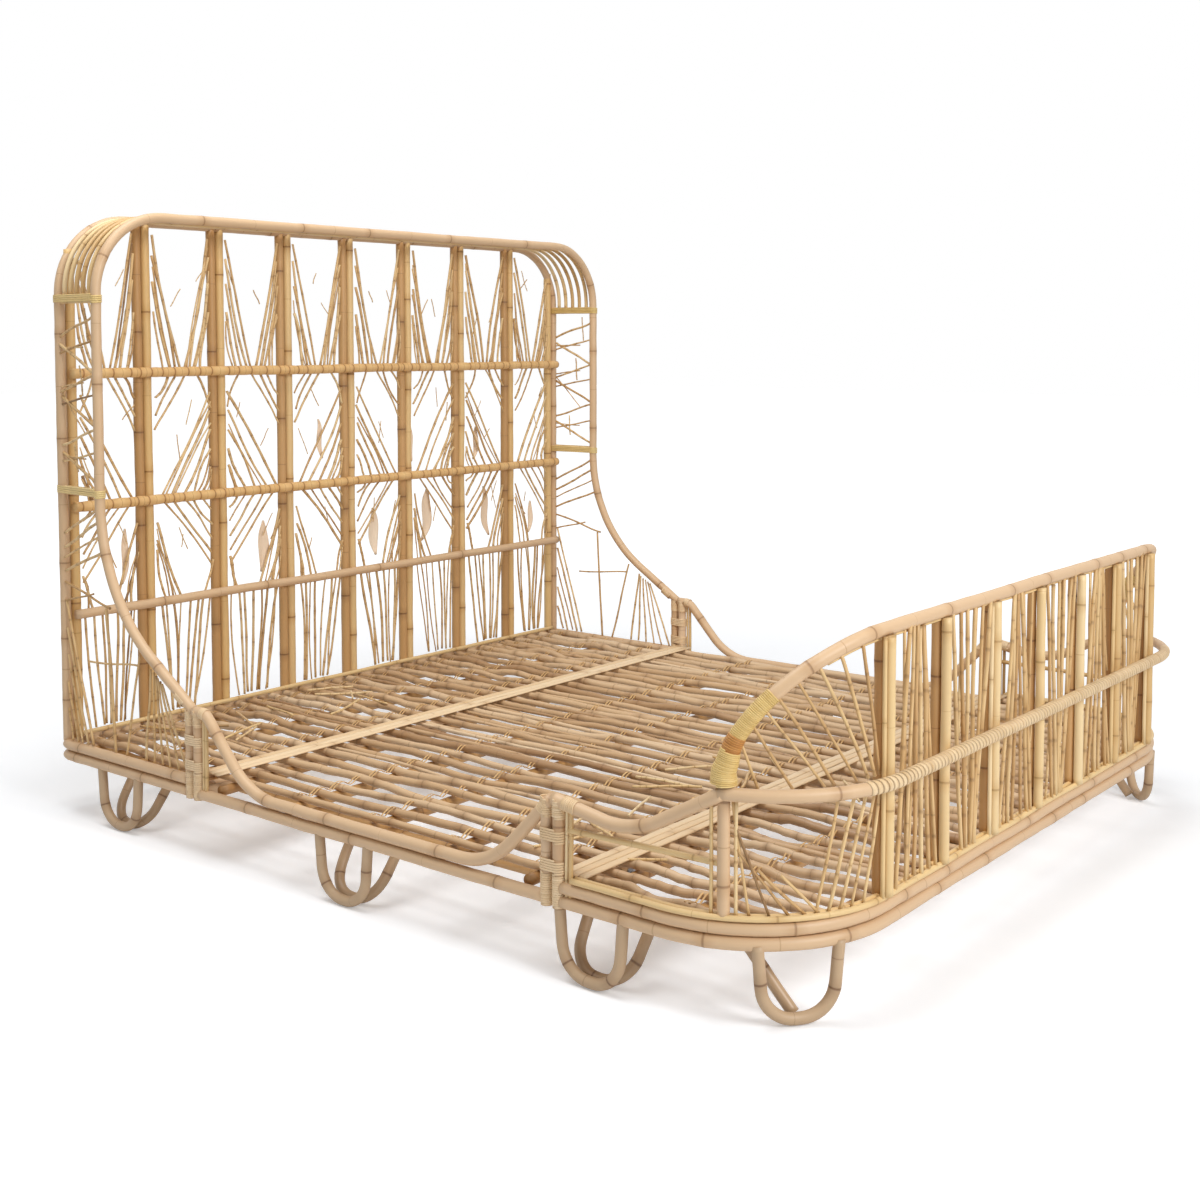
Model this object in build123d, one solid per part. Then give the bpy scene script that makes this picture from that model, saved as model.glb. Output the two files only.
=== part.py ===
from build123d import *
import math
import os

# A rattan bed in three modules: headboard, middle and footboard.
# X is the width, Y runs from the footboard to the headboard, Z is up from the floor.

# Overall sizes
rail_span = 1980          # between the centre lines of the two side rails
length = 2300             # back of the headboard to the front of the footboard
head_height = 1566        # floor to the top of the headboard
foot_height = 720         # floor to the top of the footboard
head_module = 574         # back of the headboard to its seam with the middle module
foot_module = 604         # front of the footboard to its seam with the middle module

# Canes
pole = 28                 # bent frame poles and side rails
leg_cane = 25             # bent legs and their braces
head_stile = 28
foot_stile = 22
cross_rail = 28           # the headboard's three rails
hood_cane = 13
trim_cane = 13            # thin canes laid along the thick ones
twig = 8                  # sticks of the fans
slat = 18
bearer = 26
stringer = 22
light_post = 20           # pale canes beside the seam posts
binder_stick = 12         # sticks across the wings, inside the peel bands

# Levels
rail_level = 155          # centre of the side rails
bearer_level = 169
seam_post_top = 352       # centre of the poles where they meet the seam posts
mid_rail_level = 430      # the footboard's middle rail
side_dip_level = 322      # low point of the footboard's side canes
side_rail_level = 298     # thin rail low in the footboard's sides
head_rail_shares = (0.734, 0.513, 0.334)   # the three rails, as shares of the head's height
binder_drop = 12          # the upper bands, under the hood's bend
binder_low = 850          # the lower bands
wing_knee_level = 587     # where the wing pole's straight runs would meet

# Headboard
hood_depth = 187          # ring at the head to the front hood pole
head_corner = 32          # plan radius of the deck at the head
hood_corner = 200         # radius of the headboard's top corners
hood_canes = 5
head_stiles = 7
wing_bend = 450

# Middle
swoop_bend = 200
swoop_drop = (202, 168)   # seam to the swoop's low corner, at the head and foot ends
swoop_shoulder = 44       # seam to the swoop's first bend
shoulder_bend = 40

# Footboard
foot_corner = 295         # plan radius of the deck at the foot
rail_corner = 300         # plan radius of the footboard's middle rail
foot_stiles = 7
side_dip = 187            # seam to the low point of the side canes
side_bend = 200
corner_post_angle = 24    # degrees round the foot corner from the side
rail_joint_angle = 18     # where the side cane meets the middle rail
rise = ((26, 515), (37, 592), (54, 658), (76, 700))   # angle and height of the top pole's bends
flare_height = 78
flare_top = 34
flare_foot = 52

# Legs
leg_spread = 78           # half the width of a leg at its top
leg_foot = 66             # half the width of its bottom run before rounding
leg_bend = 66
brace_reach = 112         # how far in the brace's top leans
leg_sets = (266, 40, 94)  # from the headboard's back, the middle module's centre and the foot seam
corner_leg_angle = 51     # degrees round the foot corner from the side
floor_flat = 0.5          # depth of the worn flat under each leg

# Deck
slats = 32
slat_margin = 50          # side rail's centre to the first slat's centre
end_gap = 3
touch_gap = 0.06          # between canes that lie against each other round a bend
beam_strips = 3
strip_width = 22
strip_thickness = 7
bearer_inset = 62         # module end to its outer bearers
bearer_counts = (3, 5, 3)
lace_width = 6
lace_thickness = 2

# Fans: where each stick leaves its stile, as shares of the row's height,
# and where it meets the rail, as shares of half the clear bay
fan_top_row = ((0.96, 0.92), (0.70, 0.62), (0.44, 0.32))
fan_corner_share = 0.78
fan_mid_row = ((0.52, 0.90), (0.66, 0.46))
fan_low_row = ((0.84, 0.34), (0.97, 0.80))
rail_overlap = 3          # a rail's centre line to the stick ends behind it
foot_fan = (-0.8, -0.1, 0.66)
foot_fan_base = 0.2
corner_sticks = (40, 52, 64, 76)
corner_lean = 9           # degrees that a corner stick leans round the corner
wing_zigzag = (0, 0.16, 0.27, 0.43, 0.55, 0.70, 0.82, 0.97)
wing_sticks = 6
wing_stick_lean = 26

# Bindings and bolts
peel = 2
peel_height = 24
band_levels = (222, 282)
bolt = 8
bolt_shares = (0.333, 0.788)   # bolts along the end canes, as shares of the side rail's place
bolt_head = 13            # across its flats
bolt_head_thickness = 5.5
washer = 24
washer_thickness = 2
bolt_tail = 6             # thread past the nut
bolt_clearance = 0.3

# Derived places
side = rail_span / 2
head_seam = length / 2 - head_module
foot_seam = foot_module - length / 2
head_bay = rail_span / (head_stiles + 1.08)
foot_bay = (rail_span - 2 * foot_corner) / (foot_stiles - 1)
leg_places = (length / 2 - leg_sets[0], (head_seam + foot_seam) / 2 + leg_sets[1], foot_seam - leg_sets[2])
bolt_places = [side * share for share in bolt_shares]
head_rail_levels = [head_height * share for share in head_rail_shares]
ring_level = rail_level + pole
head_plane = length / 2 - pole / 2
corner_set = head_corner * (1 - math.sqrt(0.5))
back_plane = head_plane - corner_set
corner_post = side - corner_set
inner_post = corner_post - head_stile - peel
hood_front = head_plane - hood_depth
hood_level = head_height - pole / 2
binder_levels = (hood_level - hood_corner - binder_drop, binder_low)
rail_plane = back_plane - (head_stile + cross_rail) / 2
twig_plane = rail_plane + (cross_rail + twig) / 2
twig_side = math.sqrt(((head_stile + twig) / 2) ** 2 - (back_plane - twig_plane) ** 2)
foot_rail_plane = -length / 2 + pole / 2
foot_plane = foot_rail_plane + pole / 2 + foot_stile + touch_gap
foot_top_level = foot_height - pole / 2
trim_level = ring_level + math.sqrt(((pole + trim_cane) / 2) ** 2 - (trim_cane / 2) ** 2)
foot_seat = trim_level + trim_cane / 6
foot_stile_top = foot_top_level - pole / 7
post_offset = (pole + peel) / 2
seam_posts_y = (head_seam + post_offset, head_seam - post_offset,
                foot_seam + post_offset, foot_seam - post_offset)
slat_level = bearer_level + (bearer + slat) / 2
slat_top = slat_level + slat / 2
stringer_level = bearer_level - (bearer + stringer) / 2
stringer_x = side - brace_reach
inner_side = side - pole / 2 - end_gap
slat_head_end = back_plane - head_stile / 2 - end_gap


def largest(shape):
    """The main solid of a cut shape, without the tips that were cut loose."""
    return max(shape.solids(), key=lambda piece: piece.volume)


def cane(start, end, diameter):
    """A straight cane between two points."""
    axis = Vector(*end) - Vector(*start)
    plane = Plane(origin=start, z_dir=axis)
    return extrude(plane * Circle(diameter / 2), amount=axis.length).solid()


def tangent_radii(points, share=0.45):
    """For each corner, the largest arc that its shorter run allows."""
    radii = []
    for before, here, after in zip(points, points[1:], points[2:]):
        run_in = Vector(*here) - Vector(*before)
        run_out = Vector(*after) - Vector(*here)
        half_turn = math.radians(run_in.get_angle(run_out)) / 2
        radii.append(share * min(run_in.length, run_out.length) / math.tan(half_turn))
    return radii


def bent_cane(points, radii, diameter):
    """A cane bent over straight runs and tangent arcs."""
    path = FilletPolyline(*points, radius=radii)
    start = Plane(origin=path @ 0, z_dir=path % 0)
    return sweep(start * Circle(diameter / 2), path=path).solid()


def seated(piece, *supports):
    """A cane hollowed where it seats on others."""
    for support in supports:
        piece = largest(piece - support)
    return piece


def cut_at_seam(piece, seam, keep):
    """The piece on one side of a seam: keep is 1 towards the head and -1 towards the foot."""
    block = Box(2 * rail_span, length, 2 * head_height)
    return largest(piece - Pos(0, seam + keep * (peel - length) / 2, 0) * block)


def on_right(pieces):
    """The same pieces on the bed's right side."""
    return [mirror(piece, about=Plane.YZ).solid() for piece in pieces]


def both_sides(pieces):
    return list(pieces) + on_right(pieces)


def flip(points):
    """The same points on the right side, in reverse order."""
    return [(-x, y, z) for x, y, z in reversed(points)]


def foot_point(angle, radius=foot_corner):
    """Plan point on the left foot corner's arc, by its angle from the side."""
    turn = math.radians(angle)
    return (-side + foot_corner - radius * math.cos(turn),
            foot_plane + foot_corner - radius * math.sin(turn))


def rail_point(angle):
    """Plan point on the middle rail's arc, which stands outside the stiles."""
    turn = math.radians(angle)
    return (-side + rail_corner * (1 - math.cos(turn)),
            foot_rail_plane + rail_corner * (1 - math.sin(turn)))


def band(start, end, diameter, level):
    """A flat peel band pulled tight round two upright canes of one size."""
    run = Vector(*end) - Vector(*start)
    middle = (Vector(*start) + Vector(*end)) / 2
    place = Pos(middle.X, middle.Y, level - peel_height / 2)
    turn = Rot(0, 0, math.degrees(math.atan2(run.Y, run.X)))
    outline = SlotCenterToCenter(run.length, diameter + 2 * peel)
    opening = SlotCenterToCenter(run.length, diameter)
    return (place * turn * extrude(outline - opening, amount=peel_height)).solid()


def spread(count, reach):
    """Evenly spaced places from minus reach to reach."""
    return [-reach + 2 * reach * index / (count - 1) for index in range(count)]


# Deck rings
def head_ring(level):
    seam_y = seam_posts_y[0]
    points = [(-side, seam_y, level), (-side, head_plane, level)]
    return bent_cane(points + flip(points), head_corner, pole)


def foot_ring(level, diameter=pole, inset=0):
    seam_y = seam_posts_y[3] if inset == 0 else seam_posts_y[3] - pole / 2 - light_post - peel
    x = side - inset
    y = foot_plane + inset
    points = [(-x, seam_y, level), (-x, y, level)]
    return bent_cane(points + flip(points), foot_corner - inset, diameter)


# Frame poles
def hood_pole():
    start_y = head_seam + peel / 2
    points = [
        (-side, start_y, seam_post_top),
        (-side, hood_front, wing_knee_level),
        (-side, hood_front, hood_level),
    ]
    radii = [wing_bend, hood_corner, hood_corner, wing_bend]
    return bent_cane(points + flip(points), radii, pole)


def back_pole():
    points = [(-corner_post, back_plane, ring_level), (-corner_post, back_plane, hood_level)]
    return bent_cane(points + flip(points), hood_corner, pole)


def hood_curve(share):
    """One thin cane of the hood, at a share of the way from front pole to back pole."""
    x = side + (corner_post - side) * share
    y = hood_front + (back_plane - hood_front) * share
    low = binder_levels[0] + binder_stick
    points = [(-x, y, low), (-x, y, hood_level)]
    return bent_cane(points + flip(points), hood_corner - hood_cane, hood_cane)


def swoop():
    low = rail_level + pole
    start_y = head_seam - peel / 2
    end_y = foot_seam + peel / 2
    points = [
        (-side, start_y, seam_post_top),
        (-side, head_seam - swoop_shoulder, seam_post_top),
        (-side, head_seam - swoop_drop[0], low),
        (-side, foot_seam + swoop_drop[1], low),
        (-side, end_y, seam_post_top),
    ]
    return bent_cane(points, [shoulder_bend, swoop_bend, swoop_bend], pole)


def foot_side_cane():
    x, y = rail_point(rail_joint_angle)
    points = [
        (-side, foot_seam - peel / 2, seam_post_top),
        (-side, foot_seam - side_dip, side_dip_level),
        (x, y, mid_rail_level),
    ]
    return bent_cane(points, [side_bend], pole)


def foot_mid_rail():
    turn = math.radians(rail_joint_angle)
    x, y = rail_point(rail_joint_angle)
    lead = 6
    start = (x - lead * math.sin(turn), y + lead * math.cos(turn), mid_rail_level)
    reach = (y - foot_rail_plane) / math.cos(turn)
    corner = (x + reach * math.sin(turn), foot_rail_plane, mid_rail_level)
    points = [start, corner]
    return bent_cane(points + flip(points), rail_corner, pole)


def foot_top_pole():
    points = [(*foot_point(corner_post_angle), mid_rail_level)]
    points += [(*foot_point(angle), level) for angle, level in rise]
    points.append((-side + foot_corner + foot_bay / 2, foot_plane, foot_top_level))
    points += flip(points)
    return bent_cane(points, tangent_radii(points), pole)


lower_head_ring = head_ring(rail_level)
upper_head_ring = head_ring(ring_level)
lower_foot_ring = foot_ring(rail_level)
upper_foot_ring = foot_ring(ring_level)
front_pole = cut_at_seam(hood_pole(), head_seam, 1)
rear_pole = seated(back_pole(), upper_head_ring)
left_swoop = cut_at_seam(swoop(), foot_seam, 1)
left_side_cane = cut_at_seam(foot_side_cane(), foot_seam, -1)
middle_rail = foot_mid_rail()
top_pole = foot_top_pole()

# Seam posts, hollowed at the top under the poles that end on them
post_caps = (front_pole, left_swoop, left_swoop, left_side_cane)
post_foot = rail_level - pole / 2
posts = []
for post_y, cap in zip(seam_posts_y, post_caps):
    post = cane((-side, post_y, post_foot), (-side, post_y, seam_post_top), pole)
    posts.append(seated(post, cap))

left_rail = cane((-side, seam_posts_y[1], rail_level), (-side, seam_posts_y[2], rail_level), pole)
left_rail = seated(left_rail, posts[1], posts[2])
all_posts = both_sides(posts)
head_post_pair = [all_posts[0], all_posts[4]]
foot_post_pair = [all_posts[3], all_posts[7]]
lower_head_ring = seated(lower_head_ring, *head_post_pair)
upper_head_ring = seated(upper_head_ring, *head_post_pair)
lower_foot_ring = seated(lower_foot_ring, *foot_post_pair)
upper_foot_ring = seated(upper_foot_ring, *foot_post_pair)


# Footboard trim canes, side by side on the upper ring
foot_trims = [foot_ring(trim_level, trim_cane, inset) for inset in (-trim_cane / 2, trim_cane / 2)]

# Light posts beside the seam posts
light_set = (pole + light_post) / 2 + peel
mid_light = cane((-side, seam_posts_y[1] - light_set, rail_level),
                 (-side, seam_posts_y[1] - light_set, seam_post_top), light_post)
mid_light = seated(mid_light, left_rail, left_swoop)
foot_light = cane((-side, seam_posts_y[3] - light_set, ring_level),
                  (-side, seam_posts_y[3] - light_set, seam_post_top), light_post)
foot_light = seated(foot_light, upper_foot_ring, left_side_cane)


# Headboard lattice
def head_stile_pairs():
    pieces = []
    top_run = cane((-side, back_plane, hood_level), (side, back_plane, hood_level), pole)
    for x in spread(head_stiles, head_bay * (head_stiles - 1) / 2):
        for offset in (-head_stile / 2, head_stile / 2):
            piece = cane((x + offset, back_plane, ring_level), (x + offset, back_plane, hood_level), head_stile)
            pieces.append(seated(piece, upper_head_ring, top_run))
    return pieces


def inner_corner_posts():
    top = hood_level - hood_corner / 2
    piece = cane((-inner_post, back_plane, ring_level), (-inner_post, back_plane, top), head_stile)
    return both_sides([seated(piece, upper_head_ring, rear_pole)])


def head_rail(level):
    return cane((-corner_post, rail_plane, level), (corner_post, rail_plane, level), cross_rail)


def bay_edges():
    """Left and right limits of the eight clear bays, where a stick touches the stiles."""
    stiles = spread(head_stiles, head_bay * (head_stiles - 1) / 2)
    edge = head_stile / 2 + twig_side
    lefts = [-inner_post + twig_side] + [x + edge for x in stiles]
    rights = [x - edge for x in stiles] + [inner_post - twig_side]
    return list(zip(lefts, rights))


def fan(top, bottom, down, up=(), corner_share=1):
    """Sticks from each stile to the rails: down ones open below, up ones above.
    Those at the corner posts start lower by corner_share, under the hood's bend."""
    pieces = []
    height = top - bottom
    for left, right in bay_edges():
        half = (right - left) / 2
        for start, direction in ((left, 1), (right, -1)):
            rise = height * corner_share if abs(start) > inner_post - head_stile else height
            for share, reach in down:
                foot = start + direction * half * reach
                pieces.append(cane((start, twig_plane, bottom + rise * share),
                                   (foot, twig_plane, bottom), twig))
            for share, reach in up:
                head = start + direction * half * reach
                pieces.append(cane((head, twig_plane, top),
                                   (start, twig_plane, top - height * share), twig))
    return pieces


def head_fans():
    """The four rows of sticks, from the hood down to the deck."""
    row_gap = rail_overlap
    first, second, third = head_rail_levels
    hood_under = hood_level - pole / 2
    deck_top = slat_top + trim_cane
    rows = [fan(hood_under, first + row_gap, fan_top_row, (), fan_corner_share)]
    for high, low in ((first, second), (second, third)):
        down = [((1 - share) * 0.9, reach) for share, reach in fan_mid_row]
        up = [((1 - share) * 0.9, reach) for share, reach in fan_mid_row]
        rows.append(fan(high - row_gap, low + row_gap, down, up))
    rows.append(fan(third - row_gap, deck_top, fan_low_row))
    return rows


# Wings
def wing_binders():
    """Sticks across each wing and the peel bands round them."""
    sticks = []
    bands = []
    rear = (-corner_post, back_plane)
    front = (-side, hood_front)
    rear_run = cane((*rear, ring_level), (*rear, hood_level), pole)
    front_run = cane((*front, ring_level), (*front, hood_level), pole)
    for level in binder_levels:
        for offset in (-binder_stick / 2, binder_stick / 2):
            stick = cane((*rear, level + offset), (*front, level + offset), binder_stick)
            sticks.append(seated(stick, rear_run, front_run))
        bands.append(band(rear, front, pole, level))
    return both_sides(sticks), both_sides(bands)


def wing_twigs():
    """Zigzag sticks between the corner post and the hood pole, and uprights below them."""
    pieces = []
    clear = peel_height / 2 + twig
    high, low = binder_levels
    heights = [low + clear + (high - low - 2 * clear) * share for share in wing_zigzag]
    for index, (start, end) in enumerate(zip(heights, heights[1:])):
        rear_z, front_z = (start, end) if index % 2 == 0 else (end, start)
        rear_z += twig / 2 if index % 2 == 0 else -twig / 2
        front_z += -twig / 2 if index % 2 == 0 else twig / 2
        stick = cane((-corner_post, back_plane, rear_z), (-side, hood_front, front_z), twig)
        pieces.append(seated(stick, rear_pole, front_pole))
    first_y = seam_posts_y[0] + pole
    step = (back_plane - pole - first_y) / wing_sticks
    for index in range(wing_sticks):
        foot_y = first_y + step * (index + 0.5)
        head_y = foot_y + wing_stick_lean * (1 if index % 2 else -1)
        top = wing_knee_level if head_y < hood_front else binder_levels[1] - clear
        stick = cane((-side, foot_y, ring_level), (-side, head_y, top), twig)
        stick = seated(stick, upper_head_ring)
        parts = (stick - front_pole - rear_pole).solids()
        pieces.append(min(parts, key=lambda part: part.center().Z))
    return both_sides(pieces)


# Deck
def slat_places():
    return spread(slats, side - slat_margin)


def inside_corner(across, gap):
    """How far a piece reaches towards the foot corner's arc, at a distance across from its centre."""
    radius = foot_corner - pole / 2 - gap
    return math.sqrt(radius ** 2 - max(0, across) ** 2)


def foot_end(x, width, gap):
    """Y where a lengthwise piece ends inside the foot ring."""
    across = abs(x) + width / 2 - (side - foot_corner)
    return foot_plane + foot_corner - inside_corner(across, gap)


def slat_row(start_y, end_y):
    return [cane((x, start_y, slat_level), (x, end_y, slat_level), slat) for x in slat_places()]


def foot_slat_row(end_y):
    pieces = []
    for x in slat_places():
        start_y = foot_end(x, slat, end_gap)
        pieces.append(cane((x, start_y, slat_level), (x, end_y, slat_level), slat))
    return pieces


def cross_canes(places):
    """Bearers from rail to rail, shorter inside the rounded foot corners."""
    pieces = []
    for y in places:
        across = foot_plane + foot_corner - (y - bearer / 2)
        reach = side - foot_corner + inside_corner(across, 0)
        pieces.append(cane((-reach, y, bearer_level), (reach, y, bearer_level), bearer))
    return pieces


def stringers(start_y, end_y):
    piece = cane((-stringer_x, start_y, stringer_level), (-stringer_x, end_y, stringer_level), stringer)
    return both_sides([piece])


def beam(edge_y):
    """Flat split strips over the slat ends, side by side from the module's edge."""
    pieces = []
    for index in range(beam_strips):
        y = edge_y - strip_width * (index + 0.5)
        strip = Box(2 * inner_side, strip_width, strip_thickness)
        pieces.append((Pos(0, y, slat_top + strip_thickness / 2) * strip).solid())
    return pieces


def laces(places):
    """Peel laid over the slats, above each bearer."""
    lace = Box(2 * (side - slat_margin) + slat, lace_width, lace_thickness)
    return [(Pos(0, y, slat_top + lace_thickness / 2) * lace).solid() for y in places]


def row_places(start_y, end_y, count):
    middle = (start_y + end_y) / 2
    reach = (end_y - start_y) / 2 - bearer_inset
    return [middle + offset for offset in spread(count, reach)]


# Legs
leg_centre = leg_cane / 2 - floor_flat


def leg_bend_solid(origin, across, up, top):
    """A bent leg whose bottom run is centred on origin, with its arms along up."""
    runs = [(-leg_spread, top), (-leg_foot, 0), (leg_foot, 0), (leg_spread, top)]
    points = [tuple(origin + across * x + up * y) for x, y in runs]
    return bent_cane(points, leg_bend, leg_cane)


def stand(piece):
    """The piece with a small worn flat where it stands on the floor."""
    ground = Pos(0, 0, -pole) * Box(2 * rail_span, 2 * length, 2 * pole)
    return largest(piece - ground)


def side_leg(place, supports, rest):
    """An upright bend under the side rail, and a second one that leans in to the stringer."""
    across = Vector(0, 1, 0)
    upright = Vector(0, 0, 1)
    outer = leg_bend_solid(Vector(-side, place, leg_centre), across, upright, rail_level - leg_centre)
    outer = stand(seated(outer, *supports))
    foot = Vector(-side + leg_cane, place, leg_centre)
    lean = Vector(-stringer_x, place, stringer_level) - foot
    brace = leg_bend_solid(foot, across, lean.normalized(), lean.length)
    brace = stand(seated(brace, outer, *rest))
    return outer, brace


def corner_leg(supports, rest):
    """A bend under the rounded foot corner, and one straight brace leaning in from it."""
    turn = math.radians(corner_leg_angle)
    across = Vector(math.sin(turn), -math.cos(turn), 0)
    inward = Vector(math.cos(turn), math.sin(turn), 0)
    sag = leg_spread ** 2 / (4 * foot_corner)
    foot = Vector(*foot_point(corner_leg_angle), leg_centre) + inward * sag
    outer = leg_bend_solid(foot, across, Vector(0, 0, 1), rail_level - leg_centre)
    outer = stand(seated(outer, *supports))
    start = foot + inward * leg_cane
    end = (-stringer_x, start.Y + brace_reach, stringer_level)
    brace = stand(seated(cane(tuple(start), end, leg_cane), outer, *rest))
    return outer, brace


# Footboard lattice
def rise_level(angle):
    """Height of the top pole's centre over the rounded corner."""
    marks = [(corner_post_angle, mid_rail_level), *rise, (90, foot_top_level)]
    for (low_angle, low), (high_angle, high) in zip(marks, marks[1:]):
        if angle <= high_angle:
            return low + (high - low) * (angle - low_angle) / (high_angle - low_angle)
    return foot_top_level


def foot_stile_pairs(trims, cap):
    pieces = []
    for x in spread(foot_stiles, foot_bay * (foot_stiles - 1) / 2):
        for offset in (-foot_stile / 2, foot_stile / 2):
            y = foot_plane + offset
            piece = cane((x, y, foot_seat), (x, y, foot_stile_top), foot_stile)
            pieces.append(seated(piece, *trims, cap))
    return pieces


def foot_fans(trims, cap):
    """Leaning sticks in the footboard's bays, opening up and down by turns."""
    pieces = []
    y = foot_plane - trim_cane / 2
    stiles = spread(foot_stiles, foot_bay * (foot_stiles - 1) / 2)
    half = foot_bay / 2 - foot_stile
    for index, (left, right) in enumerate(zip(stiles, stiles[1:])):
        middle = (left + right) / 2
        for share in foot_fan:
            wide = middle + half * share
            narrow = middle + half * share * foot_fan_base
            foot_x, head_x = (narrow, wide) if index % 2 else (wide, narrow)
            stick = cane((foot_x, y, foot_seat), (head_x, y, foot_stile_top), twig)
            pieces.append(seated(stick, *trims, cap))
    return pieces


def corner_fans(trims, cap):
    pieces = []
    for angle in corner_sticks:
        foot = (*foot_point(angle), foot_seat)
        head = (*foot_point(angle + corner_lean), rise_level(angle + corner_lean))
        stick = cane(foot, head, twig)
        for trim in trims:
            stick = largest(stick - trim)
        parts = (stick - cap).solids()
        pieces.append(min(parts, key=lambda part: part.center().Z))
    return both_sides(pieces)


def corner_posts(trims, caps):
    place = foot_point(corner_post_angle)
    post = cane((*place, foot_seat), (*place, mid_rail_level), pole - 2 * peel)
    return seated(post, *trims, *caps)


def flare(*inside):
    """Peel wound thick round the foot of the top pole."""
    level = mid_rail_level + pole / 2
    place = Pos(*foot_point(corner_post_angle), level + flare_height / 2)
    cone = place * Cone(flare_foot / 2, flare_top / 2, flare_height)
    return both_sides([seated(cone, *inside)])


# Bolts through the end canes at both seams
def bolt_sites():
    for seam in (head_seam, foot_seam):
        for x in bolt_places:
            yield x, seam
            yield -x, seam


def along_y(x, start_y, end_y, radius):
    plane = Plane(origin=(x, start_y, rail_level), z_dir=(0, math.copysign(1, end_y - start_y), 0))
    return extrude(plane * Circle(radius), amount=abs(end_y - start_y)).solid()


def seam_hardware():
    bolts = []
    nuts = []
    washers = []
    grip = post_offset + pole / 2
    for x, seam in bolt_sites():
        head_face = seam + grip + washer_thickness
        nut_face = seam - grip - washer_thickness
        tail = nut_face - bolt_head_thickness - bolt_tail
        shank = along_y(x, head_face, tail, bolt / 2)
        head_plane_here = Plane(origin=(x, head_face, rail_level), z_dir=(0, 1, 0))
        hexagon = RegularPolygon(bolt_head / 2, 6, major_radius=False)
        head = extrude(head_plane_here * hexagon, amount=bolt_head_thickness)
        bolts.append((head + shank).solid())
        nut_plane = Plane(origin=(x, nut_face, rail_level), z_dir=(0, -1, 0))
        nut = extrude(nut_plane * hexagon, amount=bolt_head_thickness)
        nuts.append(largest(nut - shank))
        for face, direction in ((head_face, 1), (nut_face, -1)):
            plate = along_y(x, face - direction * washer_thickness, face, washer / 2)
            washers.append(largest(plate - shank))
    return bolts, nuts, washers


def bolt_holes():
    grip = pole + post_offset
    return [along_y(x, seam + grip, seam - grip, bolt / 2 + bolt_clearance) for x, seam in bolt_sites()]


# Assembly of the nodes
nodes = {}
middle_rail = seated(middle_rail, *both_sides([left_side_cane]))
top_pole = seated(top_pole, middle_rail, *both_sides([left_side_cane]))

nodes["head_hood_pole"] = [front_pole]
nodes["head_back_pole"] = [rear_pole]
nodes["head_inner_posts"] = inner_corner_posts()
nodes["head_hood_canes"] = [hood_curve((index + 1) / (hood_canes + 1)) for index in range(hood_canes)]
nodes["head_stiles"] = head_stile_pairs()
for name, level in zip(("upper", "middle", "lower"), head_rail_levels):
    nodes[f"head_rail_{name}"] = [head_rail(level)]
for index, row in enumerate(head_fans()):
    nodes[f"head_fans_row_{index + 1}"] = row
nodes["wing_binder_sticks"], nodes["wing_binder_bands"] = wing_binders()
nodes["wing_twigs"] = wing_twigs()
nodes["head_ring_lower"] = [lower_head_ring]
nodes["head_ring_upper"] = [upper_head_ring]

holes = bolt_holes()
end_canes = []
rail_ends = ([lower_head_ring], both_sides([left_rail]), both_sides([left_rail]), [lower_foot_ring])
for post_y, post, rails in zip(seam_posts_y, posts, rail_ends):
    end_cane = cane((-side, post_y, rail_level), (side, post_y, rail_level), pole)
    end_canes.append(seated(end_cane, *both_sides([post]), *rails, *holes))
nodes["end_canes"] = end_canes

head_rows = row_places(seam_posts_y[0], slat_head_end, bearer_counts[0])
middle_rows = row_places(seam_posts_y[2], seam_posts_y[1], bearer_counts[1])
foot_rows = row_places(foot_plane, seam_posts_y[3], bearer_counts[2])
nodes["deck_bearers"] = cross_canes(head_rows + middle_rows + foot_rows)
nodes["head_slats"] = slat_row(head_seam + peel / 2, slat_head_end)
nodes["middle_slats"] = slat_row(foot_seam + peel / 2, head_seam - peel / 2)
nodes["foot_slats"] = foot_slat_row(foot_seam - peel / 2)
nodes["deck_beams"] = beam(head_seam - peel / 2) + beam(foot_seam - peel / 2)
nodes["deck_laces"] = laces(head_rows + middle_rows[:-1] + foot_rows[1:-1])
head_foot_cane_y = back_plane - (head_stile + trim_cane) / 2
nodes["head_foot_cane"] = [cane((-inner_post, head_foot_cane_y, slat_top + trim_cane / 2),
                                (inner_post, head_foot_cane_y, slat_top + trim_cane / 2), trim_cane)]

head_strings = stringers(seam_posts_y[0] + pole / 2, head_plane - pole / 2)
middle_strings = stringers(seam_posts_y[2] + pole / 2, seam_posts_y[1] - pole / 2)
foot_strings = stringers(foot_end(stringer_x, stringer, 0), seam_posts_y[3] - pole / 2)
nodes["deck_stringers"] = head_strings + middle_strings + foot_strings

nodes["seam_posts"] = all_posts
nodes["light_posts"] = both_sides([mid_light, foot_light])
nodes["middle_side_rail_left"] = [left_rail]
nodes["middle_side_rail_right"] = on_right([left_rail])
nodes["middle_swoop_left"] = [left_swoop]
nodes["middle_swoop_right"] = on_right([left_swoop])
nodes["foot_ring_lower"] = [lower_foot_ring]
nodes["foot_ring_upper"] = [upper_foot_ring]
nodes["foot_trims"] = foot_trims
nodes["foot_side_cane_left"] = [left_side_cane]
nodes["foot_side_cane_right"] = on_right([left_side_cane])
nodes["foot_middle_rail"] = [middle_rail]
nodes["foot_top_pole"] = [top_pole]
nodes["foot_stiles"] = foot_stile_pairs(foot_trims, top_pole)
nodes["foot_fans"] = foot_fans(foot_trims, top_pole)
nodes["foot_corner_fans"] = corner_fans(foot_trims, top_pole)
left_corner_post = corner_posts(foot_trims, [middle_rail, top_pole, left_side_cane])
nodes["foot_corner_posts"] = both_sides([left_corner_post])
thin_rail = cane((-side, foot_light.center().Y, side_rail_level),
                 (*foot_point(corner_post_angle), side_rail_level), trim_cane)
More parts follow.
